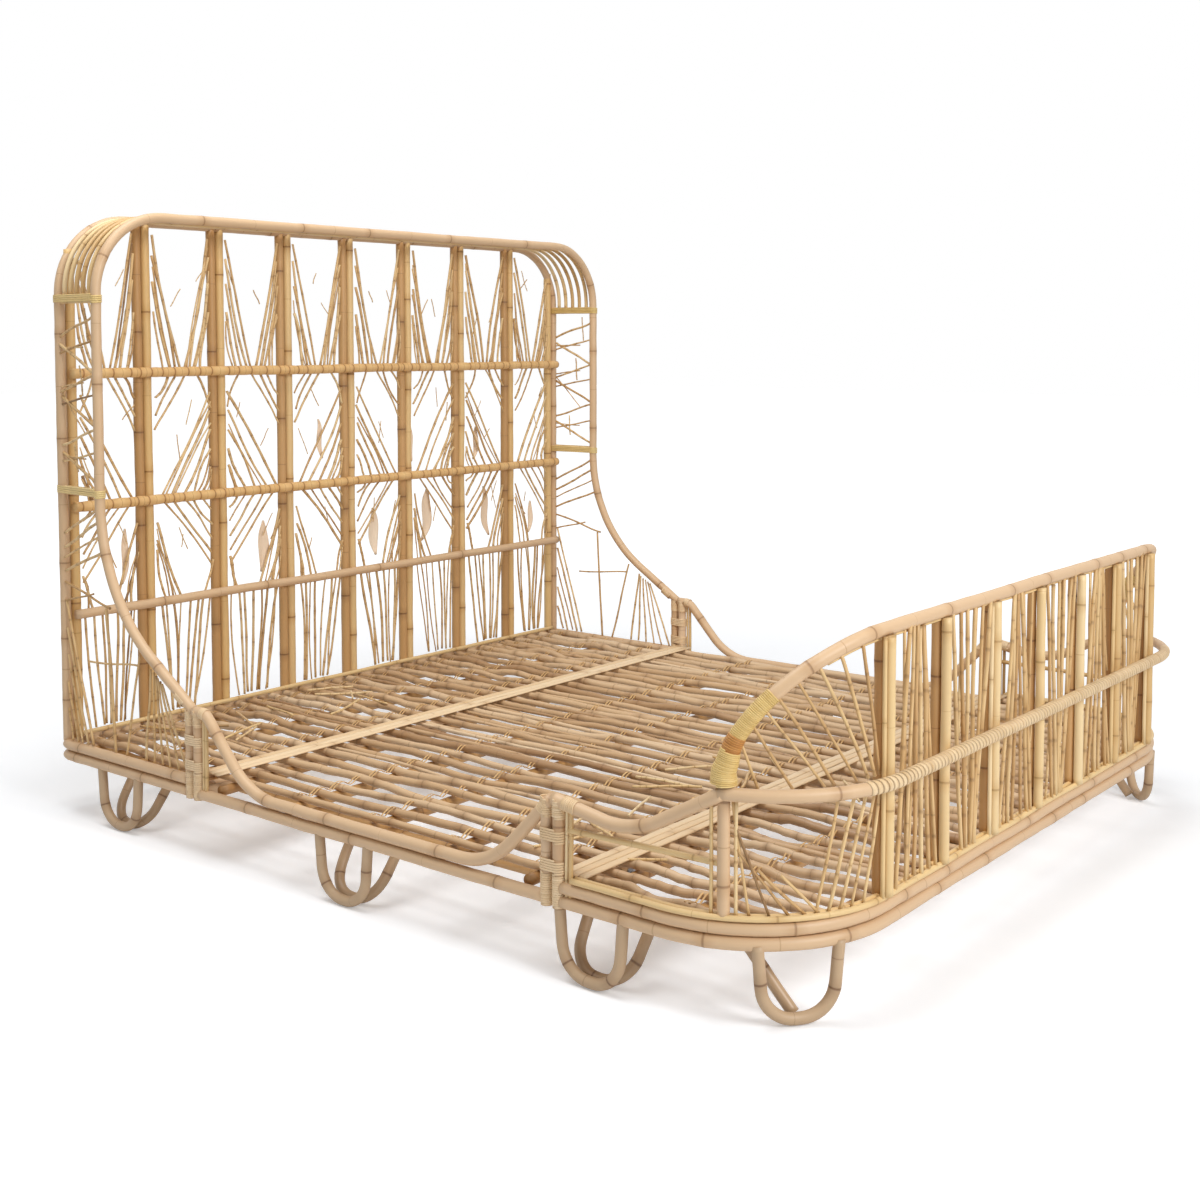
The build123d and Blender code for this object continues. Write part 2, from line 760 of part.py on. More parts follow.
nodes["foot_side_rails"] = both_sides([seated(thin_rail, foot_light, left_corner_post)])
nodes["foot_flares"] = flare(top_pole, middle_rail, left_side_cane)

bands = []
for near, far in ((0, 1), (2, 3)):
    for level in band_levels:
        bands.append(band((-side, seam_posts_y[near]), (-side, seam_posts_y[far]), pole, level))
nodes["seam_bands"] = both_sides(bands)

leg_supports = ([lower_head_ring], [left_rail], [lower_foot_ring, posts[3], end_canes[3]])
leg_rests = (head_strings, middle_strings, [*foot_strings, end_canes[3]])
for name, place, supports, rest in zip(("head", "middle", "seam"), leg_places, leg_supports, leg_rests):
    outer, brace = side_leg(place, supports, rest)
    nodes[f"leg_{name}_left"] = [outer, brace]
    nodes[f"leg_{name}_right"] = on_right([outer, brace])
outer, brace = corner_leg([lower_foot_ring], foot_strings)
nodes["leg_corner_left"] = [outer, brace]
nodes["leg_corner_right"] = on_right([outer, brace])
nodes["seam_bolts"], nodes["seam_nuts"], nodes["seam_washers"] = seam_hardware()

os.makedirs("parts", exist_ok=True)
for name, pieces in nodes.items():
    node = Compound(children=pieces, label=name) if len(pieces) > 1 else pieces[0]
    node.label = name
    export_step(node, f"parts/{name}.step")
print(len(nodes), "nodes,", sum(len(pieces) for pieces in nodes.values()), "pieces")
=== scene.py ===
import bpy
import math
import random
from mathutils import Matrix, Vector


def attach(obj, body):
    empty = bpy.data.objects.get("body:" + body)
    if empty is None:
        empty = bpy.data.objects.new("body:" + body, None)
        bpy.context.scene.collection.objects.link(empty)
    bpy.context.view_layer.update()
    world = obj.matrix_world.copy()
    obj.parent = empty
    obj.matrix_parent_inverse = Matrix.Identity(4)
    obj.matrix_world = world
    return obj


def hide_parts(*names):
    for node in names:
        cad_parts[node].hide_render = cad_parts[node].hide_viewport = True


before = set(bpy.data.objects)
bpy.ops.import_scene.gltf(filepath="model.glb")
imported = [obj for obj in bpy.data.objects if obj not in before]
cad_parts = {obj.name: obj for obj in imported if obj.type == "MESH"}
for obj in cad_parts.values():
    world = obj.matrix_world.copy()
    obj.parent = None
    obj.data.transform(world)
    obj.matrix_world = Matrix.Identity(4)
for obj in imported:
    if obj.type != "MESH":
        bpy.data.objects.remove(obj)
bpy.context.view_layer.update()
chance = random.Random(11)

# Sizes of the bed, in millimetres
mm = 0.001
side = 990
head_seam = 576
foot_seam = -546
rail_level = 155
ring_level = 183
head_plane = 1136
back_plane = 1126.6
corner_post = 980.6
inner_post = 950.6
hood_front = 949
hood_level = 1552
rail_plane = 1098.6
twig_plane = 1116.6
foot_rail_plane = -1136
foot_plane = -1099.9
foot_top = 706
foot_corner = 295
rail_corner = 300
trim_level = 202.4
slat_level = 191
slat_top = 200
seam_top = 352
mid_level = 430
head_bay = 245
foot_bay = 231.7
head_rails = (1149.4, 803.4, 523)
binders = (1340, 850)
pole_thick = 27
ring_thick = 26.4
trim_thick = 12.4
leg_thick = 24
leg_level = 12.5
bearer_level = 169
stringer_level = 145
stringer_line = 878
band_reach = 14.6
slat_count = 32
room_light = 0.32


# Small tools

def only(item):
    """Selects one object and nothing else."""
    bpy.ops.object.select_all(action="DESELECT")
    item.select_set(True)
    bpy.context.view_layer.objects.active = item


def apply(item, modifier):
    only(item)
    bpy.ops.object.modifier_apply(modifier=modifier.name)


def joined(parts, name):
    """One piece from several, under the first one's mesh."""
    bpy.ops.object.select_all(action="DESELECT")
    for part in parts:
        part.select_set(True)
    bpy.context.view_layer.objects.active = parts[0]
    if len(parts) > 1:
        bpy.ops.object.join()
    piece = bpy.context.object
    piece.name = name
    return piece


def finished(parts, name, look, *nodes):
    """Joins parts to one named piece of the bed, with its finish, in place of its CAD nodes."""
    piece = joined(parts, name)
    piece.data.materials.clear()
    piece.data.materials.append(look)
    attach(piece, "root")
    if nodes:
        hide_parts(*nodes)
    return piece


def spread(count, reach):
    return [-reach + 2 * reach * index / (count - 1) for index in range(count)]


def whole(points):
    return points + [(-x, y, z) for x, y, z in reversed(points)]


def rounded(points, radii, step=14):
    """Points along straight runs and tangent arcs, close enough together to bend a cane."""
    corners = [Vector(point) for point in points]
    line = [corners[0]]
    for before, here, after, radius in zip(corners, corners[1:], corners[2:], radii):
        run_in = (here - before).normalized()
        run_out = (after - here).normalized()
        turn = run_in.angle(run_out)
        reach = radius * math.tan(turn / 2)
        start = here - run_in * reach
        axis = run_in.cross(run_out).normalized()
        centre = start + axis.cross(run_in) * radius
        steps = max(2, round(radius * turn / step))
        for index in range(steps + 1):
            line.append(centre + Matrix.Rotation(turn * index / steps, 3, axis) @ (start - centre))
    line.append(corners[-1])
    return line


def foot_point(angle):
    turn = math.radians(angle)
    middle = (-side + foot_corner, foot_plane + foot_corner)
    return (middle[0] - foot_corner * math.cos(turn), middle[1] - foot_corner * math.sin(turn))


# Canes

def swelling(distance, width):
    return math.exp(-(distance / width) ** 2)


def straight_cane(length, thickness, joint_gap=290, sides=10, step=18, rough=0.02, bow=1.5,
                  joint_rise=0.045, flat=1.0):
    """A cane along X: a ring drawn out in steps, closed, then swollen at its joints and bowed a little.
    flat below 1 makes it a split strip."""
    radius = thickness / 2
    steps = max(3, round(length / step))
    bpy.ops.mesh.primitive_circle_add(vertices=sides, radius=radius * mm, rotation=(0, math.pi / 2, 0))
    cane = bpy.context.object
    only(cane)
    bpy.ops.object.transform_apply(rotation=True)
    draw = cane.modifiers.new("draw", "SCREW")
    draw.axis = "X"
    draw.angle = 0
    draw.screw_offset = length * mm
    draw.steps = steps
    draw.render_steps = steps
    draw.use_smooth_shade = True
    apply(cane, draw)
    bpy.ops.object.mode_set(mode="EDIT")
    bpy.ops.mesh.select_all(action="SELECT")
    bpy.ops.mesh.fill_holes(sides=0)
    bpy.ops.mesh.normals_make_consistent(inside=False)
    bpy.ops.object.mode_set(mode="OBJECT")
    every = length / steps
    joint = chance.uniform(0.15, 0.85) * joint_gap
    joints = []
    while joint < length + joint_gap:
        joints.append(round(joint / every) * every)
        joint += joint_gap * chance.uniform(0.6, 1.4)
    waves = [(chance.uniform(300, 900), chance.uniform(0, 6.3), chance.choice((1, 2))) for _ in range(3)]
    lumps = [(chance.uniform(28, 90), chance.uniform(0, 6.3)) for _ in range(3)]
    grain = cane.data.attributes.new("grain", "FLOAT_VECTOR", "POINT")
    joint_place = cane.data.attributes.new("joint", "FLOAT", "POINT")
    for vertex in cane.data.vertices:
        x, y, z = (value / mm for value in vertex.co)
        grain.data[vertex.index].vector = (x * mm, y * mm, z * mm)
        distance = min((x - place for place in joints), key=abs)
        joint_place.data[vertex.index].value = distance * mm
        width = 1 - 0.03 * min(1, x / length) + joint_rise * (swelling(distance, 9) - 0.25)
        for wave, start in lumps:
            width += rough / 2 * math.sin(x / wave * 6.3 / 2 + start + math.atan2(y, z))
        shift = Vector((0, 0, 0))
        hold = math.sin(math.pi * min(max(x / length, 0), 1))
        for wave, start, direction in waves:
            shift[direction] += bow / 2 * math.sin(x / wave * 6.3 + start) * hold
        vertex.co = Vector((x, y * width + shift.y, z * width * flat + shift.z)) * mm
    return cane


def bent(cane, route, twist="MINIMUM"):
    """Bends a piece that lies along X over a route of points."""
    line = bpy.data.curves.new("route", "CURVE")
    line.dimensions = "3D"
    line.twist_mode = twist
    line.use_path = True
    spline = line.splines.new("POLY")
    spline.points.add(len(route) - 1)
    for point, place in zip(spline.points, route):
        point.co = (*(Vector(place) * mm), 1)
    guide = bpy.data.objects.new("route", line)
    bpy.context.collection.objects.link(guide)
    bend = cane.modifiers.new("bend", "CURVE")
    bend.object = guide
    bend.deform_axis = "POS_X"
    apply(cane, bend)
    bpy.data.objects.remove(guide)
    return cane


def route_length(route):
    return sum((Vector(end) - Vector(start)).length for start, end in zip(route, route[1:]))


def bent_cane(route, thickness, **shape):
    return bent(straight_cane(route_length(route), thickness, **shape), route)


def laid(blank, start, end, thick=1.0, rolled=True):
    """A copy of a straight blank between two points, rolled about its own axis."""
    start = Vector(start) * mm
    run = Vector(end) * mm - start
    length = max(corner[0] for corner in blank.bound_box)
    mesh = blank.data.copy()
    turn = run.to_track_quat("X", "Z").to_matrix().to_4x4()
    roll = Matrix.Rotation(chance.uniform(0, 6.3) if rolled else 0, 4, "X")
    size = Matrix.Diagonal((run.length / length, thick, thick, 1))
    mesh.transform(Matrix.Translation(start) @ turn @ roll @ size)
    piece = bpy.data.objects.new("cane", mesh)
    bpy.context.collection.objects.link(piece)
    return piece


def blanks(count, length, thickness, **shape):
    return [straight_cane(length, thickness, **shape) for _ in range(count)]


def put_away(*pieces):
    for piece in pieces:
        bpy.data.objects.remove(piece)


def one_cane(length, thickness, start, end, **shape):
    """A straight cane between two points, made for this one place."""
    blank = straight_cane(length, thickness, **shape)
    piece = laid(blank, start, end)
    put_away(blank)
    return piece


# Finishes

def tone(red, green, blue):
    """A colour given from 0 to 255, as Blender's linear colour."""
    def linear(value):
        value /= 255
        return value / 12.92 if value <= 0.04045 else ((value + 0.055) / 1.055) ** 2.4
    return (linear(red), linear(green), linear(blue), 1)


class Finish:
    """A material under construction, with short ways to add and join its nodes."""

    def __init__(self, name):
        self.material = bpy.data.materials.new(name)
        self.material.use_nodes = True
        self.nodes = self.material.node_tree.nodes
        self.links = self.material.node_tree.links
        self.nodes.clear()
        self.shader = self.add("ShaderNodeBsdfPrincipled")
        output = self.add("ShaderNodeOutputMaterial")
        self.links.new(self.shader.outputs[0], output.inputs["Surface"])

    def add(self, kind, settings=None, **sockets):
        node = self.nodes.new(kind)
        for name, value in (settings or {}).items():
            setattr(node, name, value)
        for name, value in sockets.items():
            self.feed(node.inputs[name.replace("_", " ")], value)
        return node

    def feed(self, socket, value):
        if isinstance(value, bpy.types.NodeSocket):
            self.links.new(value, socket)
        else:
            socket.default_value = value

    def maths(self, operation, first, second=0.0):
        node = self.add("ShaderNodeMath", {"operation": operation})
        self.feed(node.inputs[0], first)
        self.feed(node.inputs[1], second)
        return node.outputs[0]

    def noise(self, place, scale, detail=3.0, roughness=0.55):
        """Noise with a scale for each axis."""
        place = self.add("ShaderNodeMapping", Vector=place, Scale=scale).outputs[0]
        node = self.add("ShaderNodeTexNoise", Vector=place, Scale=1.0, Detail=detail, Roughness=roughness)
        return node.outputs[0]

    def ramp(self, factor, *stops):
        node = self.add("ShaderNodeValToRGB", Fac=factor)
        elements = node.color_ramp.elements
        while len(elements) < len(stops):
            elements.new(0.5)
        for element, (position, colour) in zip(elements, stops):
            element.position = position
            element.color = colour
        return node.outputs[0]

    def mix(self, factor, first, second):
        node = self.add("ShaderNodeMix", {"data_type": "RGBA"})
        self.feed(node.inputs[0], factor)
        self.feed(node.inputs[6], first)
        self.feed(node.inputs[7], second)
        return node.outputs[2]

    def cane_place(self):
        """The place on a cane, shifted for each cane so that no two look alike, and the cane's number."""
        island = self.add("ShaderNodeNewGeometry").outputs["Random Per Island"]
        grain = self.add("ShaderNodeAttribute", {"attribute_name": "grain"}).outputs["Vector"]
        own = self.add("ShaderNodeCombineXYZ", X=self.maths("MULTIPLY", island, 31.0),
                       Y=self.maths("MULTIPLY", island, 7.0), Z=0.0).outputs[0]
        place = self.add("ShaderNodeVectorMath", {"operation": "ADD"})
        self.feed(place.inputs[0], grain)
        self.feed(place.inputs[1], own)
        return place.outputs[0], island

    def range(self, value, low, high, new_low=0.0, new_high=1.0):
        node = self.add("ShaderNodeMapRange", Value=value)
        for index, limit in enumerate((low, high, new_low, new_high), 1):
            node.inputs[index].default_value = limit
        return node.outputs[0]


white = (1, 1, 1, 1)


def winding(radius, width, thickness, turns, end_radius=None, gap=0.98):
    """Peel wound round the X axis, turn beside turn, from a small ring screwed along."""
    pitch = width * gap
    bpy.ops.mesh.primitive_circle_add(vertices=6, radius=0.5 * mm, rotation=(0, 0, 0.52))
    peel = bpy.context.object
    only(peel)
    bpy.ops.object.transform_apply(rotation=True)
    peel.scale = (width, thickness, 1)
    peel.location = (width / 2 * mm, radius * mm, 0)
    bpy.ops.object.transform_apply(location=True, scale=True)
    wind = peel.modifiers.new("wind", "SCREW")
    wind.axis = "X"
    wind.angle = 2 * math.pi
    wind.screw_offset = pitch * mm
    wind.iterations = turns
    wind.steps = 14
    wind.render_steps = 14
    wind.use_smooth_shade = True
    apply(peel, wind)
    bpy.ops.object.mode_set(mode="EDIT")
    bpy.ops.mesh.select_all(action="SELECT")
    bpy.ops.mesh.fill_holes(sides=0)
    bpy.ops.mesh.normals_make_consistent(inside=False)
    bpy.ops.object.mode_set(mode="OBJECT")
    grain = peel.data.attributes.new("grain", "FLOAT_VECTOR", "POINT")
    length = pitch * turns + width
    for vertex in peel.data.vertices:
        x, y, z = (value / mm for value in vertex.co)
        angle = math.atan2(z, y)
        lap = round(((x - width / 2) / pitch * 2 * math.pi - angle) / (2 * math.pi))
        turned = angle + 2 * math.pi * lap
        cross = x - width / 2 - pitch * turned / (2 * math.pi)
        grain.data[vertex.index].vector = (turned * radius * mm, cross * mm, math.hypot(y, z) * mm)
        if end_radius:
            grow = 1 + (end_radius / radius - 1) * min(1, x / length)
            vertex.co = Vector((x, y * grow, z * grow)) * mm
    return peel


def wound(route, radius, width=5.0, thickness=2.0, end_radius=None, gap=0.98):
    """Peel wound along a route."""
    turns = max(2, round(route_length(route) / width / gap))
    return bent(winding(radius, width, thickness, turns, end_radius, gap), route)


def hoop(outline, width, thickness, turns, level):
    """Peel tied in flat turns round an outline in plan, rising from level."""
    ring = [Vector((x, y, 0)) for x, y in outline]
    count = len(ring)
    route = []
    for index in range(count * turns + 1):
        place = ring[index % count]
        route.append(Vector((place.x, place.y, level + width * index / count)))
    strip = straight_cane(route_length(route), width, sides=6, step=7, bow=0, rough=0, joint_rise=0)
    for vertex in strip.data.vertices:
        vertex.co.y *= thickness / width
    return bent(strip, route, "Z_UP")


def stadium(start, end, radius, steps=9):
    """Outline round two upright canes."""
    start = Vector(start)
    end = Vector(end)
    run = (end - start).normalized()
    lean = math.atan2(run.y, run.x)
    outline = []
    for centre, turn in ((end, -math.pi / 2), (start, math.pi / 2)):
        for index in range(steps):
            angle = lean + turn + math.pi * index / (steps - 1)
            outline.append((centre.x + radius * math.cos(angle), centre.y + radius * math.sin(angle)))
    return outline


# Materials of the bed

def rattan(name, pale, middle, deep, knot, rough=0.45, joint_dark=0.75):
    """Cane: long fibres, soft clouds, dark rings at the joints and small dark marks."""
    pale, middle, deep, knot = (tone(*colour) for colour in (pale, middle, deep, knot))
    look = Finish(name)
    place, island = look.cane_place()
    joint = look.add("ShaderNodeAttribute", {"attribute_name": "joint"}).outputs["Fac"]
    fibres = look.noise(place, (5, 230, 230))
    fine = look.noise(place, (16, 900, 900), 2.0)
    clouds = look.noise(place, (9, 26, 26))
    marks = look.noise(place, (48, 150, 150), 2.0)
    weathering = look.noise(place, (2.6, 70, 70), 4.0, 0.6)
    shade = look.maths("ADD", look.range(fibres, 0.32, 0.68, -0.1, 0.5),
                       look.range(clouds, 0.32, 0.68, -0.08, 0.4))
    shade = look.maths("ADD", shade, look.maths("MULTIPLY", island, 0.3))
    colour = look.ramp(shade, (0.0, deep), (0.44, middle), (0.92, pale))
    colour = look.mix(look.range(fine, 0.35, 0.7, 0.3, 0.0), colour, deep)
    colour = look.mix(look.range(weathering, 0.56, 0.72, 0.0, 0.6), colour, deep)
    away = look.maths("ABSOLUTE", joint)
    colour = look.mix(look.range(away, 0.026, 0.003, 0.0, 0.45), colour, deep)
    colour = look.mix(look.range(away, 0.0034, 0.0010, 0.0, joint_dark), colour, knot)
    colour = look.mix(look.range(marks, 0.64, 0.71, 0.0, 0.75), colour, knot)
    look.feed(look.shader.inputs["Base Color"], colour)
    look.feed(look.shader.inputs["Roughness"], look.range(clouds, 0.3, 0.7, rough - 0.07, rough + 0.1))
    look.shader.inputs["Coat Weight"].default_value = 0.1
    look.shader.inputs["Coat Roughness"].default_value = 0.35
    height = look.maths("ADD", look.maths("MULTIPLY", fibres, 0.5), look.maths("MULTIPLY", fine, 0.35))
    height = look.maths("SUBTRACT", height, look.range(away, 0.002, 0.0005, 0.0, 0.7))
    bump = look.add("ShaderNodeBump", Height=height, Strength=0.55, Distance=0.0010)
    look.feed(look.shader.inputs["Normal"], bump.outputs[0])
    return look.material


def peel_finish(name, pale, middle, deep, rough=0.42):
    """Split peel: fibres along the strip and a little colour change from strip to strip."""
    pale, middle, deep = (tone(*colour) for colour in (pale, middle, deep))
    look = Finish(name)
    place, island = look.cane_place()
    fibres = look.noise(place, (12, 900, 900))
    clouds = look.noise(place, (14, 60, 60))
    shade = look.maths("ADD", look.range(fibres, 0.3, 0.7, 0.0, 0.45),
                       look.range(clouds, 0.3, 0.7, 0.0, 0.4))
    shade = look.maths("ADD", shade, look.maths("MULTIPLY", island, 0.15))
    colour = look.ramp(shade, (0.05, deep), (0.45, middle), (0.92, pale))
    look.feed(look.shader.inputs["Base Color"], colour)
    look.feed(look.shader.inputs["Roughness"], look.range(clouds, 0.3, 0.7, rough - 0.06, rough + 0.12))
    bump = look.add("ShaderNodeBump", Height=fibres, Strength=0.3, Distance=0.0005)
    look.feed(look.shader.inputs["Normal"], bump.outputs[0])
    return look.material


def steel_finish():
    look = Finish("zinc_steel")
    place = look.add("ShaderNodeTexCoord").outputs["Object"]
    cloud = look.noise(place, (90, 90, 90))
    look.feed(look.shader.inputs["Base Color"],
              look.ramp(cloud, (0.3, tone(150, 152, 156)), (0.7, tone(196, 198, 200))))
    look.feed(look.shader.inputs["Roughness"], look.range(cloud, 0.3, 0.7, 0.28, 0.42))
    look.shader.inputs["Metallic"].default_value = 1.0
    return look.material


brown_knot = (112, 72, 36)
tan = rattan("tan_pole", (238, 212, 180), (220, 187, 148), (184, 142, 98), (132, 92, 54), 0.42, 0.6)
honey = rattan("honey_cane", (242, 214, 160), (226, 188, 126), (190, 142, 78), (140, 92, 42))
# Brown cane: the own colour of the bearers and stringers, and painted shade on the darker cane of each stile
# pair.
brown_and_shade = rattan("brown_and_shade_cane", (222, 178, 120), (194, 148, 92), (148, 104, 58), brown_knot)
leg_look = rattan("leg_cane", (222, 198, 168), (198, 169, 134), (160, 126, 92), (116, 82, 52), 0.45, 0.8)
segmented = rattan("rail_cane", (244, 212, 158), (232, 194, 134), (204, 152, 88), (152, 100, 48), 0.42, 0.85)
straw = rattan("straw_cane", (246, 224, 180), (232, 201, 146), (198, 156, 96), (150, 108, 54), 0.45, 0.5)
slat_look = rattan("slat_cane", (238, 212, 176), (212, 177, 134), (152, 112, 72), (108, 72, 40), 0.5, 0.3)
leaf_look = peel_finish("dry_leaf", (252, 234, 210), (242, 218, 190), (220, 190, 156), 0.7)
twig_look = rattan("twig", (242, 214, 162), (226, 190, 134), (182, 138, 84), (120, 82, 46), 0.5, 0.4)
cream = rattan("cream_strip", (244, 222, 186), (230, 200, 158), (196, 156, 108), (150, 108, 64), 0.5, 0.3)
peel_look = peel_finish("yellow_peel", (242, 218, 158), (224, 192, 122), (186, 148, 80))
pale_peel = peel_finish("pale_peel", (244, 220, 184), (230, 200, 158), (202, 166, 118))
lace_look = peel_finish("deck_peel", (226, 190, 134), (204, 162, 104), (158, 116, 66))
rail_peel = peel_finish("rail_peel", (240, 216, 178), (226, 196, 152), (196, 156, 104))
orange_peel = peel_finish("orange_peel", (214, 160, 92), (190, 130, 62), (140, 88, 36))
steel = steel_finish()

for name in ("seam_bolts", "seam_nuts", "seam_washers"):
    plate = bpy.data.objects[name]
    plate.data.materials.clear()
    plate.data.materials.append(steel)


# Headboard

seam_posts_y = (head_seam + 15, head_seam - 15, foot_seam + 15, foot_seam - 15)
stile_places = spread(7, head_bay * 3)


def pole_over(points, radii, thickness=pole_thick, step=14, **shape):
    return bent_cane(rounded(whole(points), radii, step), thickness, sides=14, **shape)


hood = [(-side, head_seam + 2, seam_top), (-side, hood_front, 587), (-side, hood_front, hood_level)]
cane = pole_over(hood, (450, 200, 200, 450), 26.0, joint_gap=330, bow=0.6)
finished([cane], "hood_pole", tan, "head_hood_pole")
rear = [(-corner_post, back_plane, ring_level + 8), (-corner_post, back_plane, hood_level)]
cane = pole_over(rear, (200, 200), ring_thick, bow=0.8)
finished([cane], "rear_pole", tan, "head_back_pole")

short_blanks = blanks(3, 1300, pole_thick)
parts = []
for x in (-inner_post, inner_post):
    parts.append(laid(short_blanks[0], (x, back_plane, 195), (x, back_plane, 1470)))
finished(parts, "inner_posts", honey, "head_inner_posts")

parts = []
for index in range(5):
    share = (index + 1) / 6
    x = side + (corner_post - side) * share
    y = hood_front + (back_plane - hood_front) * share
    curve = [(-x, y, 1352 - 30 * chance.random()), (-x, y, hood_level)]
    parts.append(bent_cane(rounded(whole(curve), (187, 187)), 12.5, sides=8, joint_gap=240))
finished(parts, "hood_canes", straw, "head_hood_canes")

# Each stile is a pair of canes. The left cane takes the brown finish as painted shade for the pair's shaded
# side; the right cane keeps the honey cane's own colour.
stile_kinds = ((-14, brown_and_shade, "stiles_shaded", ()), (14, honey, "stiles_light", ("head_stiles",)))
for offset, look, name, nodes in stile_kinds:
    parts = []
    for place in stile_places:
        x = place + offset
        low, high = (x, back_plane, 194), (x, back_plane, 1546)
        parts.append(one_cane(1350, 26.6, low, high, joint_gap=330, sides=12))
    finished(parts, name, look, *nodes)



def head_rail(level, thickness, **shape):
    return one_cane(2 * corner_post, thickness, (-968, rail_plane, level), (968, rail_plane, level), **shape)


for level, name in zip(head_rails[:2], ("upper", "middle")):
    part = head_rail(level, 27.4, joint_gap=44, sides=14, step=5, rough=0.015, joint_rise=-0.07)
    finished([part], f"rail_{name}", segmented, f"head_rail_{name}")
part = head_rail(head_rails[2], 25, joint_gap=380, sides=12)
finished([part], "rail_lower", tan, "head_rail_lower")


# Fans of sticks

twig_blanks = blanks(10, 300, 8, joint_gap=120, sides=6, step=20, rough=0.08, bow=4, joint_rise=0.12)
twig_side = 17.4
stick_plane = twig_plane


def stick(start, end, thick=1.0, jitter=3.0):
    """One thin stick, a little off its place as a hand sets it."""
    start = [value + chance.uniform(-jitter, jitter) * (axis != 1) for axis, value in enumerate(start)]
    end = [value + chance.uniform(-jitter, jitter) * (axis != 1) for axis, value in enumerate(end)]
    return laid(chance.choice(twig_blanks), start, end, thick * chance.uniform(0.88, 1.08))


def bay_edges():
    lefts = [-inner_post + twig_side] + [x + 14 + twig_side for x in stile_places]
    rights = [x - 14 - twig_side for x in stile_places] + [inner_post - twig_side]
    return list(zip(lefts, rights))


def curved_stick(start, end, thick=1.0, sag=10.0):
    """A thin stick that bends a little sideways on its way."""
    run = Vector(end) - Vector(start)
    aside = Vector((-run.z, 0, run.x)).normalized() * chance.uniform(-sag, sag)
    piece = stick(start, end, thick)
    low = Vector(start) * mm
    length = run.length * mm
    for vertex in piece.data.vertices:
        share = min(1, max(0, (vertex.co - low).length / length))
        vertex.co += aside * mm * math.sin(math.pi * share)
    return piece


def fan_stick(head_x, head, foot_x, foot, thick):
    return curved_stick((head_x, stick_plane, head), (foot_x, stick_plane, foot), thick)


def fan_down(parts, start, direction, half, bottom, height, sticks):
    """Sticks from a stile down to the rail below, half of them with a thinner one beside them."""
    for share, reach in sticks:
        foot = start + direction * half * reach
        parts.append(fan_stick(start, bottom + height * share, foot, bottom, chance.uniform(0.85, 1.1)))
        if chance.random() < 0.5:
            foot -= direction * half * min(reach, chance.uniform(0.06, 0.2))
            share *= chance.uniform(0.8, 0.95)
            parts.append(fan_stick(start, bottom + height * share, foot, bottom, chance.uniform(0.5, 0.75)))


def fan_up(parts, start, direction, half, top, height, sticks):
    """Sticks from the rail above down to a stile."""
    for share, reach in sticks:
        head = start + direction * half * reach
        parts.append(fan_stick(head, top, start, top - height * share, chance.uniform(0.7, 1.0)))


def forks(parts, left, right, bottom, height):
    """Small side shoots that lean on the sticks."""
    for _ in range(2):
        x = chance.uniform(left + 30, right - 30)
        level = bottom + height * chance.uniform(0.25, 0.7)
        tip = (x + chance.uniform(-40, 40), stick_plane + 3, level + chance.uniform(30, 80))
        parts.append(stick((x, stick_plane + 3, level), tip, 0.42))


def head_row(row, top, bottom):
    """One row of the headboard's eight bays; the fans open to the left and right by turns."""
    parts = []
    height = top - bottom
    for index, (left, right) in enumerate(bay_edges()):
        half = (right - left) / 2
        even = index % 2 == 0
        near, far = ((left, 1), (right, -1)) if even else ((right, -1), (left, 1))
        if row == 1:
            for start, direction in (near, far):
                rise = height * (0.78 if abs(start) > inner_post - 28 else 1)
                fan_down(parts, start, direction, half, bottom, rise,
                         ((0.96, 0.92), (0.82, 0.74), (0.64, 0.56), (0.42, 0.32)))
        if row == 2:
            fan_down(parts, *near, half, bottom, height,
                     ((0.84, 1.86), (0.68, 1.46), (0.52, 1.04), (0.36, 0.66), (0.22, 0.34)))
            fan_up(parts, *far, half, top, height, ((0.45, 1.1), (0.34, 0.8), (0.2, 0.5)))
            fan_up(parts, *near, half, top, height, ((0.3, 0.5),))
        if row == 3:
            fan_up(parts, *near, half, top, height,
                   ((0.72, 1.82), (0.6, 1.46), (0.46, 1.08), (0.3, 0.7), (0.14, 0.36)))
            fan_down(parts, *far, half, bottom, height, ((0.78, 0.84), (0.6, 0.56), (0.5, 0.3)))
            fan_down(parts, *near, half, bottom, height, ((0.34, 0.3),))
        if row == 4:
            middle = (left + right) / 2 + chance.uniform(-20, 20)
            for share in (-0.9, -0.66, -0.42, -0.16, 0.2, 0.44, 0.7, 0.92):
                share += chance.uniform(-0.07, 0.07)
                head = (left + right) / 2 + half * share
                foot = middle + half * share * chance.uniform(0.4, 0.75)
                parts.append(fan_stick(head, top, foot, bottom, chance.uniform(0.6, 1.0)))
        else:
            forks(parts, left, right, bottom, height)
    return parts


levels = (hood_level - 14, *head_rails, slat_top + 10)
for row, (top, bottom) in enumerate(zip(levels, levels[1:]), 1):
    parts = head_row(row, top - 3, bottom + 3)
    finished(parts, f"fan_row_{row}", twig_look, f"head_fans_row_{row}")


